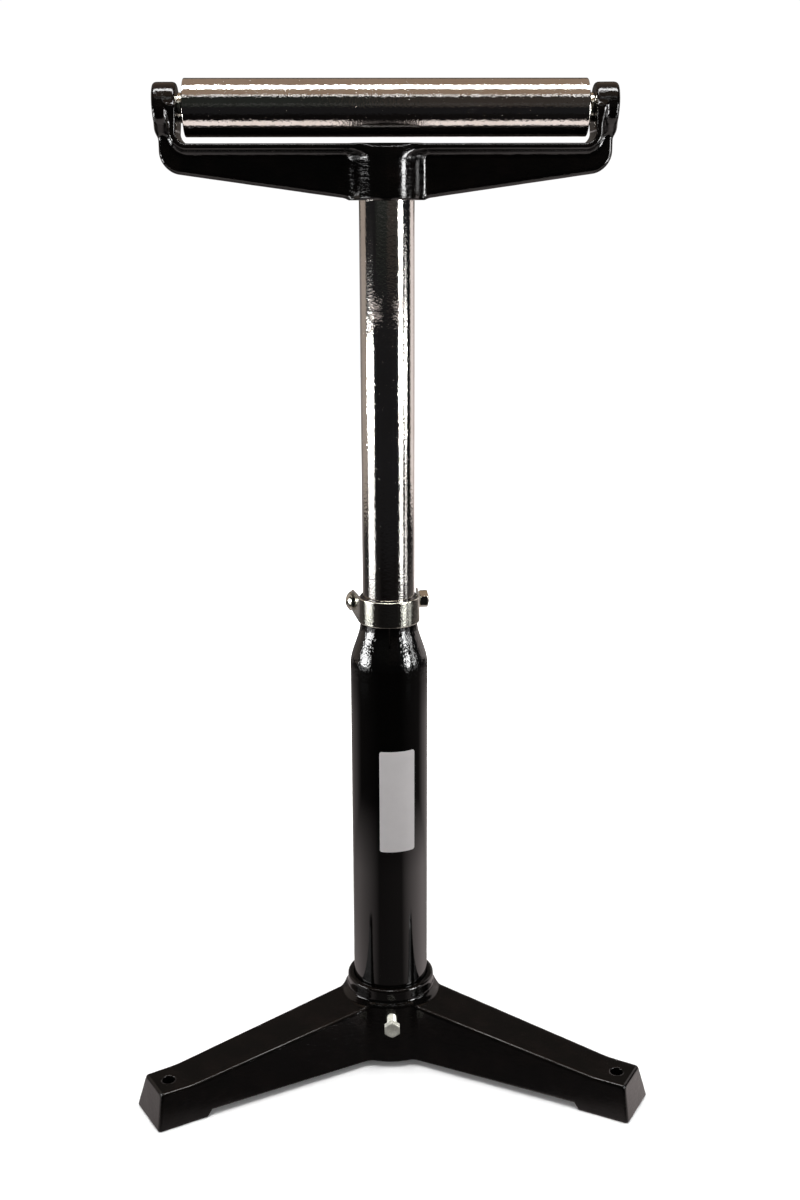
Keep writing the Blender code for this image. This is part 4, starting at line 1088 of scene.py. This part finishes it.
@dataclass(frozen=True)
class StrapClamp(Fastener):
    """The zinc-plated clamp: a bent strap, a round-head bolt with a square neck, and a nut."""

    thickness: float = 0.0019
    height: float = 0.0250
    midline: float = 0.02885
    splay: float = math.radians(4.6)
    turn: float = math.radians(5.0)
    ear_radius: float = 0.0115
    ear_drop: float = 0.0012
    ear_arc: float = math.radians(80.0)
    taper_start: float = 0.0084
    bolt_radius: float = 0.0050
    bolt_reach: float = 0.0336
    dome_radius: float = 0.0102
    dome_height: float = 0.0056
    square: float = 0.0104
    square_length: float = 0.0030
    square_sink: float = 0.0014
    bolt_end: float = 0.0012
    nut_flats: float = 0.0160
    nut_height: float = 0.0084
    gap: float = 0.0003
    bore_gap: float = 0.0001
    mouth_chamfer: float = 0.0007

    def clamp_frame(self, height: float) -> Matrix:
        """Returns the clamp's own frame at a height, turned a little about the column."""
        return Matrix.Translation((0.0, AT.column_y, height)) @ Matrix.Rotation(self.turn, 4, "Z")

    def bolt_height(self) -> float:
        """Returns the height of the bolt's axis."""
        return AT.tube_top - self.height / 2 - self.ear_drop

    def seat(self) -> float:
        """Returns how far the bolt head's seat and the nut's are from the clamp's middle."""
        edge = self.midline + self.thickness / 2
        reach = self.bolt_reach + self.dome_radius + edge * math.sin(self.splay)
        return edge * math.cos(self.splay) + reach * math.tan(self.splay) + self.gap

    def strap_shape(self, x: Array, y: Array, z: Array) -> Array:
        """Returns the strap's field: half its thickness from a bent line, inside its side view.

        The line is a circle round the neck's front that leaves it at the splay angle on both sides.
        The side view is level at the front, tapers along the ears and ends in an arc round the bolt.
        """
        x, y, z = self.own(self.clamp_frame(AT.tube_top - self.height / 2), x, y, z)
        side = np.abs(x)
        cos, sin = math.cos(self.splay), math.sin(self.splay)
        from_x, from_y = side - self.midline * cos, y + self.midline * sin
        along = from_x * sin + from_y * cos
        off = np.where(along > 0.0, from_x * cos - from_y * sin, np.hypot(x, y) - self.midline)
        sheet = np.abs(off) - self.thickness / 2
        half = self.height / 2
        end_y = self.bolt_reach + self.ear_radius * math.cos(self.ear_arc)
        end_z = self.ear_radius * math.sin(self.ear_arc)
        share = np.clip((y - self.taper_start) / (end_y - self.taper_start), 0.0, 1.0)
        top = half + (end_z - self.ear_drop - half) * share
        foot = -half + (-end_z - self.ear_drop + half) * share
        level = np.maximum(z - top, foot - z)
        round_end = np.hypot(y - self.bolt_reach, z + self.ear_drop) - self.ear_radius
        body = blend_max(sheet, np.where(y > end_y, round_end, level), 0.0011)
        bolt_y, bolt_z = np.abs(y - self.bolt_reach), np.abs(z + self.ear_drop)
        round_hole = np.hypot(bolt_y, bolt_z) - self.bolt_radius - self.gap
        square_hole = np.maximum(bolt_y, bolt_z) - self.square / 2 - self.gap
        return blend_max(body, -np.where(x > 0.0, round_hole, square_hole), 0.0006)

    def bolt_shape(self, x: Array, y: Array, z: Array) -> Array:
        """Returns the bolt's field: a ball's cap, a square neck and a threaded shank across the clamp."""
        x, y, z = self.own(self.clamp_frame(self.bolt_height()), x, y, z)
        y = y - self.bolt_reach
        seat = self.seat()
        reach = np.hypot(y, z)
        cap = (self.dome_radius ** 2 + self.dome_height ** 2) / (2 * self.dome_height)
        dome = np.sqrt(reach ** 2 + (-x - seat - self.dome_height + cap) ** 2) - cap
        dome = blend_max(dome, x + seat, 0.0009)
        end = seat + self.nut_height + self.bolt_end
        plain = (reach - self.bolt_radius) * self.rod_scale
        shank = np.where(x > 0.0, self.thread(y, z, x, self.bolt_radius), plain)
        shank = blend_max(shank, np.maximum(x - end, -seat - x - self.square_sink), self.edge)
        point = (reach - self.bolt_radius + self.end_chamfer + x - end) * SLANT_45
        shank = blend_max(shank, point, self.edge)
        neck = np.maximum(np.abs(y), np.abs(z)) - self.square / 2
        neck_ends = np.abs(x + seat + (self.square_sink - self.square_length) / 2)
        neck_ends = neck_ends - (self.square_sink + self.square_length) / 2
        neck = blend_max(neck, neck_ends, self.edge)
        return np.minimum(np.minimum(dome, neck), shank)

    def nut_shape(self, x: Array, y: Array, z: Array) -> Array:
        """Returns the nut's field: a chamfered hexagon with a plain bore, one corner upwards."""
        x, y, z = self.own(self.clamp_frame(self.bolt_height()), x, y, z)
        y, x = y - self.bolt_reach, x - self.seat()
        nut = self.hexagon(z, y, x, self.nut_flats, self.nut_height)
        mouth = np.hypot(y, z) - self.bolt_radius - self.bore_gap
        inset = np.minimum(x, self.nut_height - x)
        slant = (np.hypot(y, z) - self.bolt_radius - self.mouth_chamfer + inset) * SLANT_45
        mouth = np.minimum(mouth, slant)
        return blend_max(nut, -mouth, 0.0003)

    def build(self) -> None:
        """Builds and dresses the strap, the bolt and the nut."""
        for node, shape, body, cell in (
            ("clamp_strap", self.strap_shape, "base", 0.00042),
            ("clamp_bolt", self.bolt_shape, "base", 0.00034),
            ("clamp_nut", self.nut_shape, "nut", 0.00030),
        ):
            low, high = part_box(node)
            show(FieldSurface(shape, tuple(low), tuple(high), cell).mesh("zinc_" + node), ZINC, body, [node])


# ---------------------------------------------------------------------------------------------
# Mast
# ---------------------------------------------------------------------------------------------


@dataclass(frozen=True)
class Mast:
    """The sliding mast below the head: the bright inner tube, its bush and the circlips."""

    radius: float = 0.0250
    wall: float = 0.0030
    groove: float = 0.0010
    groove_width: float = 0.0024
    edge: float = 0.0006

    def build(self) -> None:
        """Builds the inner tube and dresses the bush and the circlips.

        The tube's profile goes down the outside through the two circlip grooves and up the bore.
        """
        low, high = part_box("inner_tube")
        inside = self.radius - self.wall
        profile = [(self.radius, high.z)]
        for clip in ("circlip_upper", "circlip_lower"):
            clip_low, clip_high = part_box(clip)
            middle = (clip_low.z + clip_high.z) / 2
            for height, radius in ((0.5, self.radius), (0.5, self.radius - self.groove),
                                   (-0.5, self.radius - self.groove), (-0.5, self.radius)):
                profile.append((radius, middle + height * self.groove_width))
        profile += [(self.radius, low.z), (inside, low.z), (inside, high.z)]
        mesh = turned_mesh("bright_inner_tube", rounded_profile(profile, self.edge), 192, upright())
        show(mesh, MAST_STEEL, "mast", ["inner_tube"])
        dress("guide_bush", NYLON)
        dress("circlip_upper", SHAFT)
        dress("circlip_lower", SHAFT)


# ---------------------------------------------------------------------------------------------
# Head casting
# ---------------------------------------------------------------------------------------------


@dataclass(frozen=True)
class HeadCasting:
    """The cast head: a boss on the mast, a flanged yoke with a rib, and an eye on each arm."""

    boss_radius: float = 0.0309
    boss_height: float = 0.0422
    flange: float = 0.0061
    flange_width: float = 0.0460
    corner: float = 0.0090
    arm_inside: float = 0.1832
    rib_width: float = 0.0130
    rib_outreach: float = 0.0115
    rib_corner: float = 0.0170
    rib_slope: float = math.radians(7.97)
    rib_drop: float = 0.0008
    eye_radius: float = 0.0215
    eye_facing: float = 0.0005
    eye_lean: float = math.radians(2.2)
    eye_inset: float = 0.0010
    socket_radius: float = 0.0253
    axle_bore: float = 0.0103
    screw_bore: float = 0.0053
    screw_drop: float = 0.0180
    grub_bore: float = 0.0033

    def yoke(self, side: Array, z: Array) -> Array:
        """Returns the distance outside the yoke's outer line: a box with rounded lower corners."""
        outside = self.arm_inside + self.flange
        radius = self.corner + self.flange
        low = AT.boss_bottom + self.boss_height
        over_x, over_z = side - outside + radius, low + radius - z
        far = np.hypot(np.maximum(over_x, 0.0), np.maximum(over_z, 0.0))
        return far + np.minimum(np.maximum(over_x, over_z), 0.0) - radius

    def rib(self, side: Array, z: Array, across_y: Array, yoke: Array) -> Array:
        """Returns the rib's field: outside the yoke, above a line that rises from the boss."""
        outside = self.arm_inside + self.flange + self.rib_outreach
        rise = AT.boss_bottom + self.rib_drop + np.maximum(side - self.boss_radius, 0.0) * math.tan(self.rib_slope)
        over_x = side - outside + self.rib_corner
        over_z = (rise - z) * math.cos(self.rib_slope) + self.rib_corner
        far = np.hypot(np.maximum(over_x, 0.0), np.maximum(over_z, 0.0))
        body = far + np.minimum(np.maximum(over_x, over_z), 0.0) - self.rib_corner
        body = np.maximum(body, -(yoke + self.flange / 2))
        return blend_max(body, across_y - self.rib_width / 2, 0.0050)

    def shape(self, x: Array, y: Array, z: Array) -> Array:
        """Returns the head's field: flange, rib, boss and eyes joined by fillets, less the bores.

        The flange is the band inside the yoke's outer line. The eyes' outer faces lean out towards the
        top. Nothing stands further into the roller's room than the eyes' faced inner ends.
        """
        y = y - AT.column_y
        side, deep = np.abs(x), np.abs(y)
        yoke = self.yoke(side, z)
        top = AT.boss_bottom + self.boss_height
        flange = blend_max(np.abs(yoke + self.flange / 2) - self.flange / 2, z - AT.roller_z, 0.002)
        flange = blend_max(flange, deep - self.flange_width / 2, 0.0034)
        rib = blend_max(self.rib(side, z, deep, yoke), z - AT.roller_z + 0.002, 0.004)
        radius = np.hypot(x, y)
        boss = blend_max(radius - self.boss_radius, AT.boss_bottom - z, 0.0030)
        boss = np.maximum(boss, z - top - self.flange / 2)
        from_axle = np.hypot(y, z - AT.roller_z)
        lean = (AT.roller_z + self.eye_radius - z) * math.tan(self.eye_lean)
        eye = np.maximum(side - AT.eye_outside + self.eye_inset + lean, self.arm_inside - self.eye_facing - side)
        eye = blend_max(eye, from_axle - self.eye_radius, 0.0045)
        body = blend_min(blend_min(flange, rib, 0.0070), boss, 0.0090)
        body = blend_min(body, eye, 0.0070) + cast_unevenness(x, y, z, 0.00006)
        inner_line = -(yoke + self.flange) - np.where(z > AT.roller_z - 0.020, self.eye_facing, 0.0)
        body = blend_max(body, inner_line, 0.0012)
        body = np.maximum(body, np.maximum(AT.boss_bottom - z, side - AT.eye_outside))
        body = np.maximum(body, deep - self.boss_radius)
        socket = np.maximum(radius - self.socket_radius, z - top)
        body = blend_max(body, -socket, 0.0012)
        bore = from_axle - self.axle_bore
        body = blend_max(body, -np.maximum(bore, self.arm_inside - 0.02 - side), 0.0012)
        screw = np.maximum(np.hypot(x, z - top + self.screw_drop) - self.screw_bore, -y)
        body = blend_max(body, -screw, 0.0010)
        eye_middle = (self.arm_inside + AT.eye_outside) / 2
        grub = np.maximum(np.hypot(side - eye_middle, z - AT.roller_z) - self.grub_bore, -y)
        return blend_max(body, -grub, 0.0010)

    def screw_height(self) -> float:
        """Returns the height of the set screw's axis."""
        return AT.boss_bottom + self.boss_height - self.screw_drop

    def build(self) -> None:
        """Builds and dresses the head casting."""
        low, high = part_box("head_casting")
        surface = FieldSurface(self.shape, tuple(low), tuple(high), 0.0013)
        show(surface.mesh("cast_head"), CAST, "mast", ["head_casting"])


# ---------------------------------------------------------------------------------------------
# Roller, axle and bearings
# ---------------------------------------------------------------------------------------------


@dataclass(frozen=True)
class RollerSet:
    """The roller on its axle: spacers, shielded bearings and the screws that hold the axle."""

    radius: float = 0.0247
    half: float = 0.1770
    bore: float = 0.0200
    seat: float = 0.0213
    shoulder: float = 0.1632
    rim: float = 0.0010
    axle_radius: float = 0.0100
    spacer_radius: float = 0.01275

    def roller_mesh(self) -> bpy.types.Mesh:
        """Returns the roller: a thick tube with an eased rim and a bearing seat in each end."""
        profile = [(self.seat, self.half), (self.radius, self.half), (self.radius, -self.half)]
        profile += [(self.seat, -self.half), (self.seat, -self.shoulder), (self.bore, -self.shoulder)]
        profile += [(self.bore, self.shoulder), (self.seat, self.shoulder)]
        return turned_mesh("bright_roller", rounded_profile(profile, self.rim, 5), 224, across(0.0))

    def axle_mesh(self) -> bpy.types.Mesh:
        """Returns the axle: a turned bar with chamfered ends and a centre hole in each."""
        low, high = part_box("axle")
        half = (high.x - low.x) / 2
        end = [(0.0, half - 0.0045), (0.0011, half - 0.0034), (0.0013, half - 0.0020), (0.0030, half)]
        end += [(self.axle_radius - 0.0010, half), (self.axle_radius, half - 0.0010)]
        profile = end + [(radius, -height) for radius, height in end[::-1]]
        return turned_mesh("turned_axle", np.array(profile), 96, across((low.x + high.x) / 2), closed=False)

    def spacer_mesh(self, end: str) -> bpy.types.Mesh:
        """Returns a spacer: a ring with chamfers and a fine turned groove round its middle."""
        low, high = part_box("spacer_" + end)
        half = (high.x - low.x) / 2
        outside, inside = self.spacer_radius, self.axle_radius + 0.0003
        profile = [(inside, half), (outside, half), (outside, 0.0004), (outside - 0.0003, 0.0), (outside, -0.0004)]
        profile += [(outside, -half), (inside, -half)]
        return turned_mesh("zinc_spacer_" + end, rounded_profile(profile, 0.0004, 3), 96, across((low.x + high.x) / 2))

    def shield_mesh(self, end: str) -> bpy.types.Mesh:
        """Returns a bearing's shield: a pressed ring with a raised step towards its outer edge."""
        low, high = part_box("bearing_shield_" + end)
        half = (high.x - low.x) / 2
        outside = (high.z - low.z) / 2
        inside = self.axle_radius + 0.0003 + 0.0032 + 0.0003
        sign = -1.0 if end == "left" else 1.0
        face = [(inside, 0.2 * half), (inside + 0.0009, -0.1 * half), (outside - 0.0016, -0.1 * half)]
        face += [(outside - 0.0011, half), (outside, half)]
        back = [(radius, height - 0.9 * half) for radius, height in face[::-1]]
        profile = np.array([(radius, sign * height) for radius, height in face + back])
        return turned_mesh("pressed_shield_" + end, profile, 96, across((low.x + high.x) / 2))

    def build(self) -> None:
        """Builds and dresses the roller, the axle, the spacers and the bearings."""
        show(self.roller_mesh(), ROLLER_STEEL, "roller", ["roller_tube"])
        show(self.axle_mesh(), SHAFT, "mast", ["axle"])
        for end in ("left", "right"):
            show(self.spacer_mesh(end), ZINC, "mast", ["spacer_" + end])
            show(self.shield_mesh(end), BEARING, "roller", ["bearing_shield_" + end])
            dress("axle_grub_screw_" + end, SHAFT)
            dress("bearing_inner_" + end, BEARING)
            dress("bearing_outer_" + end, BEARING)
            dress("bearing_cage_" + end, NYLON)
            for number in range(1, 10):
                dress(f"bearing_ball_{end}_{number}", BEARING)


# ---------------------------------------------------------------------------------------------
# Studio and camera
# ---------------------------------------------------------------------------------------------


class Seen(Enum):
    """What a panel of the studio does: it shows in reflections alone, or lights matt surfaces alone."""

    REFLECTION = "reflection"
    MATT = "matt"


@dataclass(frozen=True)
class Panel:
    """A glowing panel of the studio, from its centre and two half sides."""

    name: str
    centre: Corner
    half_u: Corner
    half_v: Corner
    colour: Tuple[float, float, float]
    strength: float
    seen: Seen = Seen.REFLECTION

    def build(self) -> None:
        """Builds the panel as part of the studio, out of the camera's sight."""
        centre, u, v = (np.array(side) for side in (self.centre, self.half_u, self.half_v))
        mesh = bpy.data.meshes.new(self.name)
        mesh.from_pydata([centre - u - v, centre + u - v, centre + u + v, centre - u + v], [], [(0, 1, 2, 3)])
        made = bpy.data.objects.new(self.name, mesh)
        look = bpy.data.materials.new(self.name)
        look.use_nodes = True
        tree = look.node_tree
        tree.nodes.clear()
        glow = tree.nodes.new("ShaderNodeEmission")
        glow.inputs["Color"].default_value = (*self.colour, 1.0)
        glow.inputs["Strength"].default_value = self.strength
        out = tree.nodes.new("ShaderNodeOutputMaterial")
        tree.links.new(glow.outputs["Emission"], out.inputs["Surface"])
        mesh.materials.append(look)
        bpy.context.scene.collection.objects.link(made)
        made.visible_camera = False
        made.visible_diffuse = self.seen is Seen.MATT
        made.visible_glossy = self.seen is Seen.REFLECTION
        made.visible_shadow = False


@dataclass(frozen=True)
class Studio:
    """The plain white studio: floor, backdrop, softboxes left, right and above, and dim walls."""

    floor_reach: float = 6.0
    glow_reach: float = 1.7
    white: Tuple[float, float, float] = (1.0, 1.0, 1.0)
    warm: Tuple[float, float, float] = (1.0, 0.86, 0.76)
    brown: Tuple[float, float, float] = (1.0, 0.73, 0.54)
    green: Tuple[float, float, float] = (0.88, 1.0, 0.90)
    pink: Tuple[float, float, float] = (1.0, 0.90, 0.87)
    reflector_height: float = 0.750
    reflector_depth: Tuple[float, float] = (0.037, 0.131)

    def around(self, azimuths: Tuple[float, float], distance: float) -> Tuple[Corner, Corner]:
        """Returns the centre and half side of a panel between two azimuths round the column.

        Args:
            azimuths: Degrees from the front, positive towards +X.
            distance: Distance of the panel's middle from the column.

        Returns:
            The centre at height 0, and the level half side.
        """
        middle = math.radians(sum(azimuths) / 2)
        half = math.tan(math.radians(abs(azimuths[1] - azimuths[0]) / 2)) * distance
        centre = (distance * math.sin(middle), AT.column_y - distance * math.cos(middle), 0.0)
        return centre, (half * math.cos(middle), half * math.sin(middle), 0.0)

    def standing(
        self, name: str, azimuths: Tuple[float, float], distance: float, heights: Tuple[float, float],
        colour: Tuple[float, float, float], strength: float, seen: Seen = Seen.REFLECTION,
    ) -> Panel:
        """Returns an upright panel between two azimuths and two heights."""
        centre, half = self.around(azimuths, distance)
        middle = ((heights[0] + heights[1]) / 2)
        return Panel(name, (centre[0], centre[1], middle), half, (0.0, 0.0, (heights[1] - heights[0]) / 2), colour, strength, seen)

    def overhead(self, name: str, height: float, depth: Tuple[float, float], half_width: float,
                 colour: Tuple[float, float, float], strength: float, seen: Seen = Seen.REFLECTION) -> Panel:
        """Returns a level panel above the stand, between two depths behind the column."""
        centre = (0.0, AT.column_y + (depth[0] + depth[1]) / 2, height)
        return Panel(name, centre, (half_width, 0.0, 0.0), (0.0, (depth[1] - depth[0]) / 2, 0.0), colour, strength, seen)

    def reflector(self, name: str, sides: Tuple[float, float]) -> Panel:
        """Returns a small level card in front of the mast, which lights the roller's underside."""
        low, high = self.reflector_depth
        centre = (sum(sides) / 2, AT.column_y - (low + high) / 2, self.reflector_height)
        return Panel(name, centre, ((sides[1] - sides[0]) / 2, 0.0, 0.0), (0.0, (high - low) / 2, 0.0), self.pink, 1.1)

    def floor(self) -> None:
        """Builds the white floor that the camera sees, with a soft contact shadow.

        Its own glow rises with the distance from the column, so that it meets the backdrop white.
        """
        reach = self.floor_reach
        mesh = bpy.data.meshes.new("studio_floor")
        mesh.from_pydata([(-reach, -reach, 0), (reach, -reach, 0), (reach, reach, 0), (-reach, reach, 0)], [], [(0, 1, 2, 3)])
        made = bpy.data.objects.new("studio_floor", mesh)
        board = Board("studio_floor")
        board.set(Base_Color=(0.80, 0.80, 0.80, 1.0), Roughness=0.9, Specular_IOR_Level=0.0)
        board.set(Emission_Color=(1.0, 1.0, 1.0, 1.0))
        board.wire(board.ramp(board.reach(), 0.30, 1.2, (0.03, 1.0)), "Emission Strength")
        mesh.materials.append(board.material)
        bpy.context.scene.collection.objects.link(made)
        made.visible_glossy = False
        made.visible_diffuse = False

    def floor_glow(self) -> None:
        """Builds the lit floor that reflections see: bright beside the stand, most on the right.

        It fades out to the front and away from the column, and behind it goes on to the backdrop.
        """
        reach = self.glow_reach
        y = AT.column_y
        mesh = bpy.data.meshes.new("floor_glow")
        corners = [(-reach, y - reach, -0.002), (reach, y - reach, -0.002), (reach, y + reach, -0.002), (-reach, y + reach, -0.002)]
        mesh.from_pydata(corners, [], [(0, 1, 2, 3)])
        made = bpy.data.objects.new("floor_glow", mesh)
        board = Board("floor_glow")
        board.set(Base_Color=(0.0, 0.0, 0.0, 1.0), Specular_IOR_Level=0.0, Emission_Color=(1.0, 0.89, 0.87, 1.0))
        distance = board.reach()
        x = board.node("ShaderNodeSeparateXYZ", Vector=board.place).outputs["X"]
        beside = board.times(board.times(x, distance, "DIVIDE"), 0.0, "ABSOLUTE")
        lit = board.times(board.ramp(beside, 0.55, 1.0, (0.11, 1.0)), board.ramp(distance, 0.44, 0.68, (1.0, 0.05)))
        y = board.node("ShaderNodeSeparateXYZ", Vector=board.place).outputs["Y"]
        behind = board.times(board.times(y, AT.column_y, "SUBTRACT"), distance, "DIVIDE")
        behind = board.times(board.ramp(behind, 0.05, 0.45, (0.0, 0.40)), board.ramp(distance, 1.0, 1.35, (1.0, 0.2)))
        lit = board.times(lit, behind, "MAXIMUM")
        board.wire(board.times(lit, board.ramp(x, -0.30, 0.30, (0.75, 1.25))), "Emission Strength")
        mesh.materials.append(board.material)
        bpy.context.scene.collection.objects.link(made)
        made.visible_camera = made.visible_diffuse = made.visible_shadow = False

    def dome(self) -> None:
        """Builds the white backdrop that only the camera sees: a ball of six metres round the stand."""
        turn = np.linspace(0.0, math.pi, 25)
        profile = np.stack([6.5 * np.sin(turn), 6.5 * np.cos(turn)], axis=1)
        mesh = turned_mesh("studio_backdrop", profile, 48, upright(), closed=False)
        made = bpy.data.objects.new("studio_backdrop", mesh)
        look = bpy.data.materials.new("studio_backdrop")
        look.use_nodes = True
        tree = look.node_tree
        tree.nodes.clear()
        glow = tree.nodes.new("ShaderNodeEmission")
        glow.inputs["Strength"].default_value = 1.02
        out = tree.nodes.new("ShaderNodeOutputMaterial")
        tree.links.new(glow.outputs["Emission"], out.inputs["Surface"])
        mesh.materials.append(look)
        bpy.context.scene.collection.objects.link(made)
        made.visible_diffuse = made.visible_glossy = made.visible_shadow = False

    def build(self) -> None:
        """Builds the floor, the backdrop and the panels, and sets the view and the dim room."""
        self.floor()
        self.floor_glow()
        self.dome()
        white, warm, brown, green, pink = self.white, self.warm, self.brown, self.green, self.pink
        panels = (
            self.standing("softbox_left_foot", (-96.0, -64.0), 1.0, (0.05, 0.172), white, 0.08),
            self.standing("softbox_left_low", (-96.0, -64.0), 1.0, (0.172, 0.34), white, 2.4),
            self.standing("softbox_left_high", (-96.0, -64.0), 1.0, (0.545, 0.64), white, 28.0),
            self.standing("softbox_left_top", (-96.0, -64.0), 1.0, (0.64, 0.77), white, 0.22),
            self.standing("softbox_right_foot", (50.0, 65.0), 1.0, (0.05, 0.172), white, 0.08),
            self.standing("softbox_right_low", (50.0, 65.0), 1.0, (0.172, 0.34), white, 2.6),
            self.standing("softbox_right_high", (50.0, 65.0), 1.0, (0.545, 0.70), white, 28.0),
            self.standing("softbox_right_top", (50.0, 65.0), 1.0, (0.70, 0.84), white, 2.6),
            self.standing("softbox_right_rear_low", (77.0, 86.0), 1.0, (0.172, 0.34), white, 1.4),
            self.standing("softbox_right_rear_high", (77.0, 86.0), 1.0, (0.545, 0.70), white, 11.0),
            self.standing("softbox_right_rear_top", (77.0, 86.0), 1.0, (0.70, 0.84), white, 1.4),
            self.standing("screen_left", (-96.0, -64.0), 2.5, (0.0, 0.33), white, 2.4),
            self.standing("screen_right", (50.0, 65.0), 2.5, (0.0, 0.33), white, 2.6),
            self.standing("screen_right_rear", (77.0, 86.0), 2.5, (0.0, 0.33), white, 1.4),
            self.standing("lamp_left", (-95.0, -65.0), 2.5, (0.33, 0.66), white, 28.0),
            self.standing("lamp_right", (51.0, 64.0), 2.5, (0.33, 1.25), white, 28.0),
            self.standing("lamp_right_rear", (77.0, 85.0), 2.5, (0.33, 0.72), white, 11.0),
            self.overhead("softbox_top", 2.0, (-0.25, -0.01), 0.9, white, 20.0),
            self.overhead("ceiling_front", 2.05, (-1.05, -0.265), 1.2, brown, 0.33),
            self.overhead("ceiling_rear", 2.05, (0.005, 2.2), 1.2, brown, 0.33),
            self.reflector("reflector_left", (-0.40, -0.04)),
            self.reflector("reflector_right", (0.04, 0.40)),
            self.standing("lamp_line", (-40.0, 40.0), 2.0, (2.80, 2.96), white, 2.6),
            self.standing("sill_line", (-40.0, 40.0), 2.0, (1.205, 1.28), white, 0.085),
            self.standing("wall_front_left", (-48.0, 0.0), 2.6, (0.9, 3.4), green, 0.024),
            self.standing("wall_front_right", (0.0, 48.0), 2.6, (0.9, 3.4), warm, 0.045),
            self.standing("backdrop_rear_left", (-180.0, -138.0), 1.6, (0.0, 0.85), pink, 0.25),
            self.standing("backdrop_rear_right", (138.0, 180.0), 1.6, (0.0, 0.85), pink, 0.6),
            self.standing("wall_rear", (138.0, 222.0), 1.6, (0.85, 2.05), warm, 0.10),
            self.standing("wall_left", (-140.0, -101.0), 1.7, (0.20, 1.6), warm, 0.42),
            self.standing("wall_right", (112.0, 140.0), 1.7, (0.20, 1.6), pink, 0.95),
            self.standing("fill_left", (-95.0, -50.0), 1.3, (0.1, 1.4), white, 1.8, Seen.MATT),
            self.standing("fill_right", (50.0, 95.0), 1.3, (0.1, 1.4), white, 1.8, Seen.MATT),
            self.standing("fill_front", (-35.0, 35.0), 2.3, (0.5, 2.0), white, 1.0, Seen.MATT),
            self.standing("fill_rear", (145.0, 215.0), 2.3, (0.5, 2.0), white, 2.6, Seen.MATT),
            self.overhead("fill_top", 2.0, (-0.8, 0.8), 0.9, white, 7.0, Seen.MATT),
        )
        for panel in panels:
            panel.build()
            LOG.info("studio panel %s", panel.name)
        world = bpy.data.worlds.new("dim_room")
        world.use_nodes = True
        world.node_tree.nodes["Background"].inputs["Color"].default_value = (0.012, 0.012, 0.013, 1.0)
        bpy.context.scene.world = world
        view = bpy.context.scene.view_settings
        view.view_transform = "Standard"
        view.look = "None"


@dataclass(frozen=True)
class PhotoCamera:
    """The camera at the photograph's viewing angle, beside the column's axis."""

    location: Corner = (-0.0237, -1.3199, 0.8381)
    pitch: float = math.radians(15.388)
    turn: float = math.radians(1.5)
    roll: float = math.radians(-0.167)
    focal_pixels: float = 1420.08
    long_side: float = 1200.0

    def build(self) -> None:
        """Builds the camera: it looks a little to the right and down, over the stand's middle."""
        forward = Vector((
            math.sin(self.turn) * math.cos(self.pitch),
            math.cos(self.turn) * math.cos(self.pitch),
            -math.sin(self.pitch),
        ))
        right = forward.cross(Vector((0.0, 0.0, 1.0))).normalized()
        up = right.cross(forward)
        axis_x = math.cos(self.roll) * right + math.sin(self.roll) * up
        axis_y = -math.sin(self.roll) * right + math.cos(self.roll) * up
        data = bpy.data.cameras.new("photo_camera")
        data.sensor_width = 36.0
        data.lens = self.focal_pixels / self.long_side * data.sensor_width
        made = bpy.data.objects.new("photo_camera", data)
        bpy.context.scene.collection.objects.link(made)
        turn = Matrix((axis_x, axis_y, -forward)).transposed().to_4x4()
        made.matrix_world = Matrix.Translation(Vector(self.location) + Vector((0.0, AT.column_y, 0.0))) @ turn
        bpy.context.scene.camera = made


def main() -> None:
    """Builds the stand, its studio and its camera."""
    logging.basicConfig(level=logging.INFO, format="%(name)s: %(message)s")
    base, head = BaseCasting(), HeadCasting()
    base.build()
    OuterTube().build()
    SetScrew(
        node="base_set_screw", body="base", wall=base.skirt_radius(base.screw_height), turn=math.pi / 2,
        height=base.screw_height,
    ).build()
    StrapClamp().build()
    Mast().build()
    head.build()
    SetScrew(
        node="head_set_screw", body="mast", tip=head.socket_radius, wall=head.boss_radius, turn=-math.pi / 2,
        height=head.screw_height(),
    ).build()
    RollerSet().build()
    Studio().build()
    PhotoCamera().build()


if __name__ == "__main__":
    main()
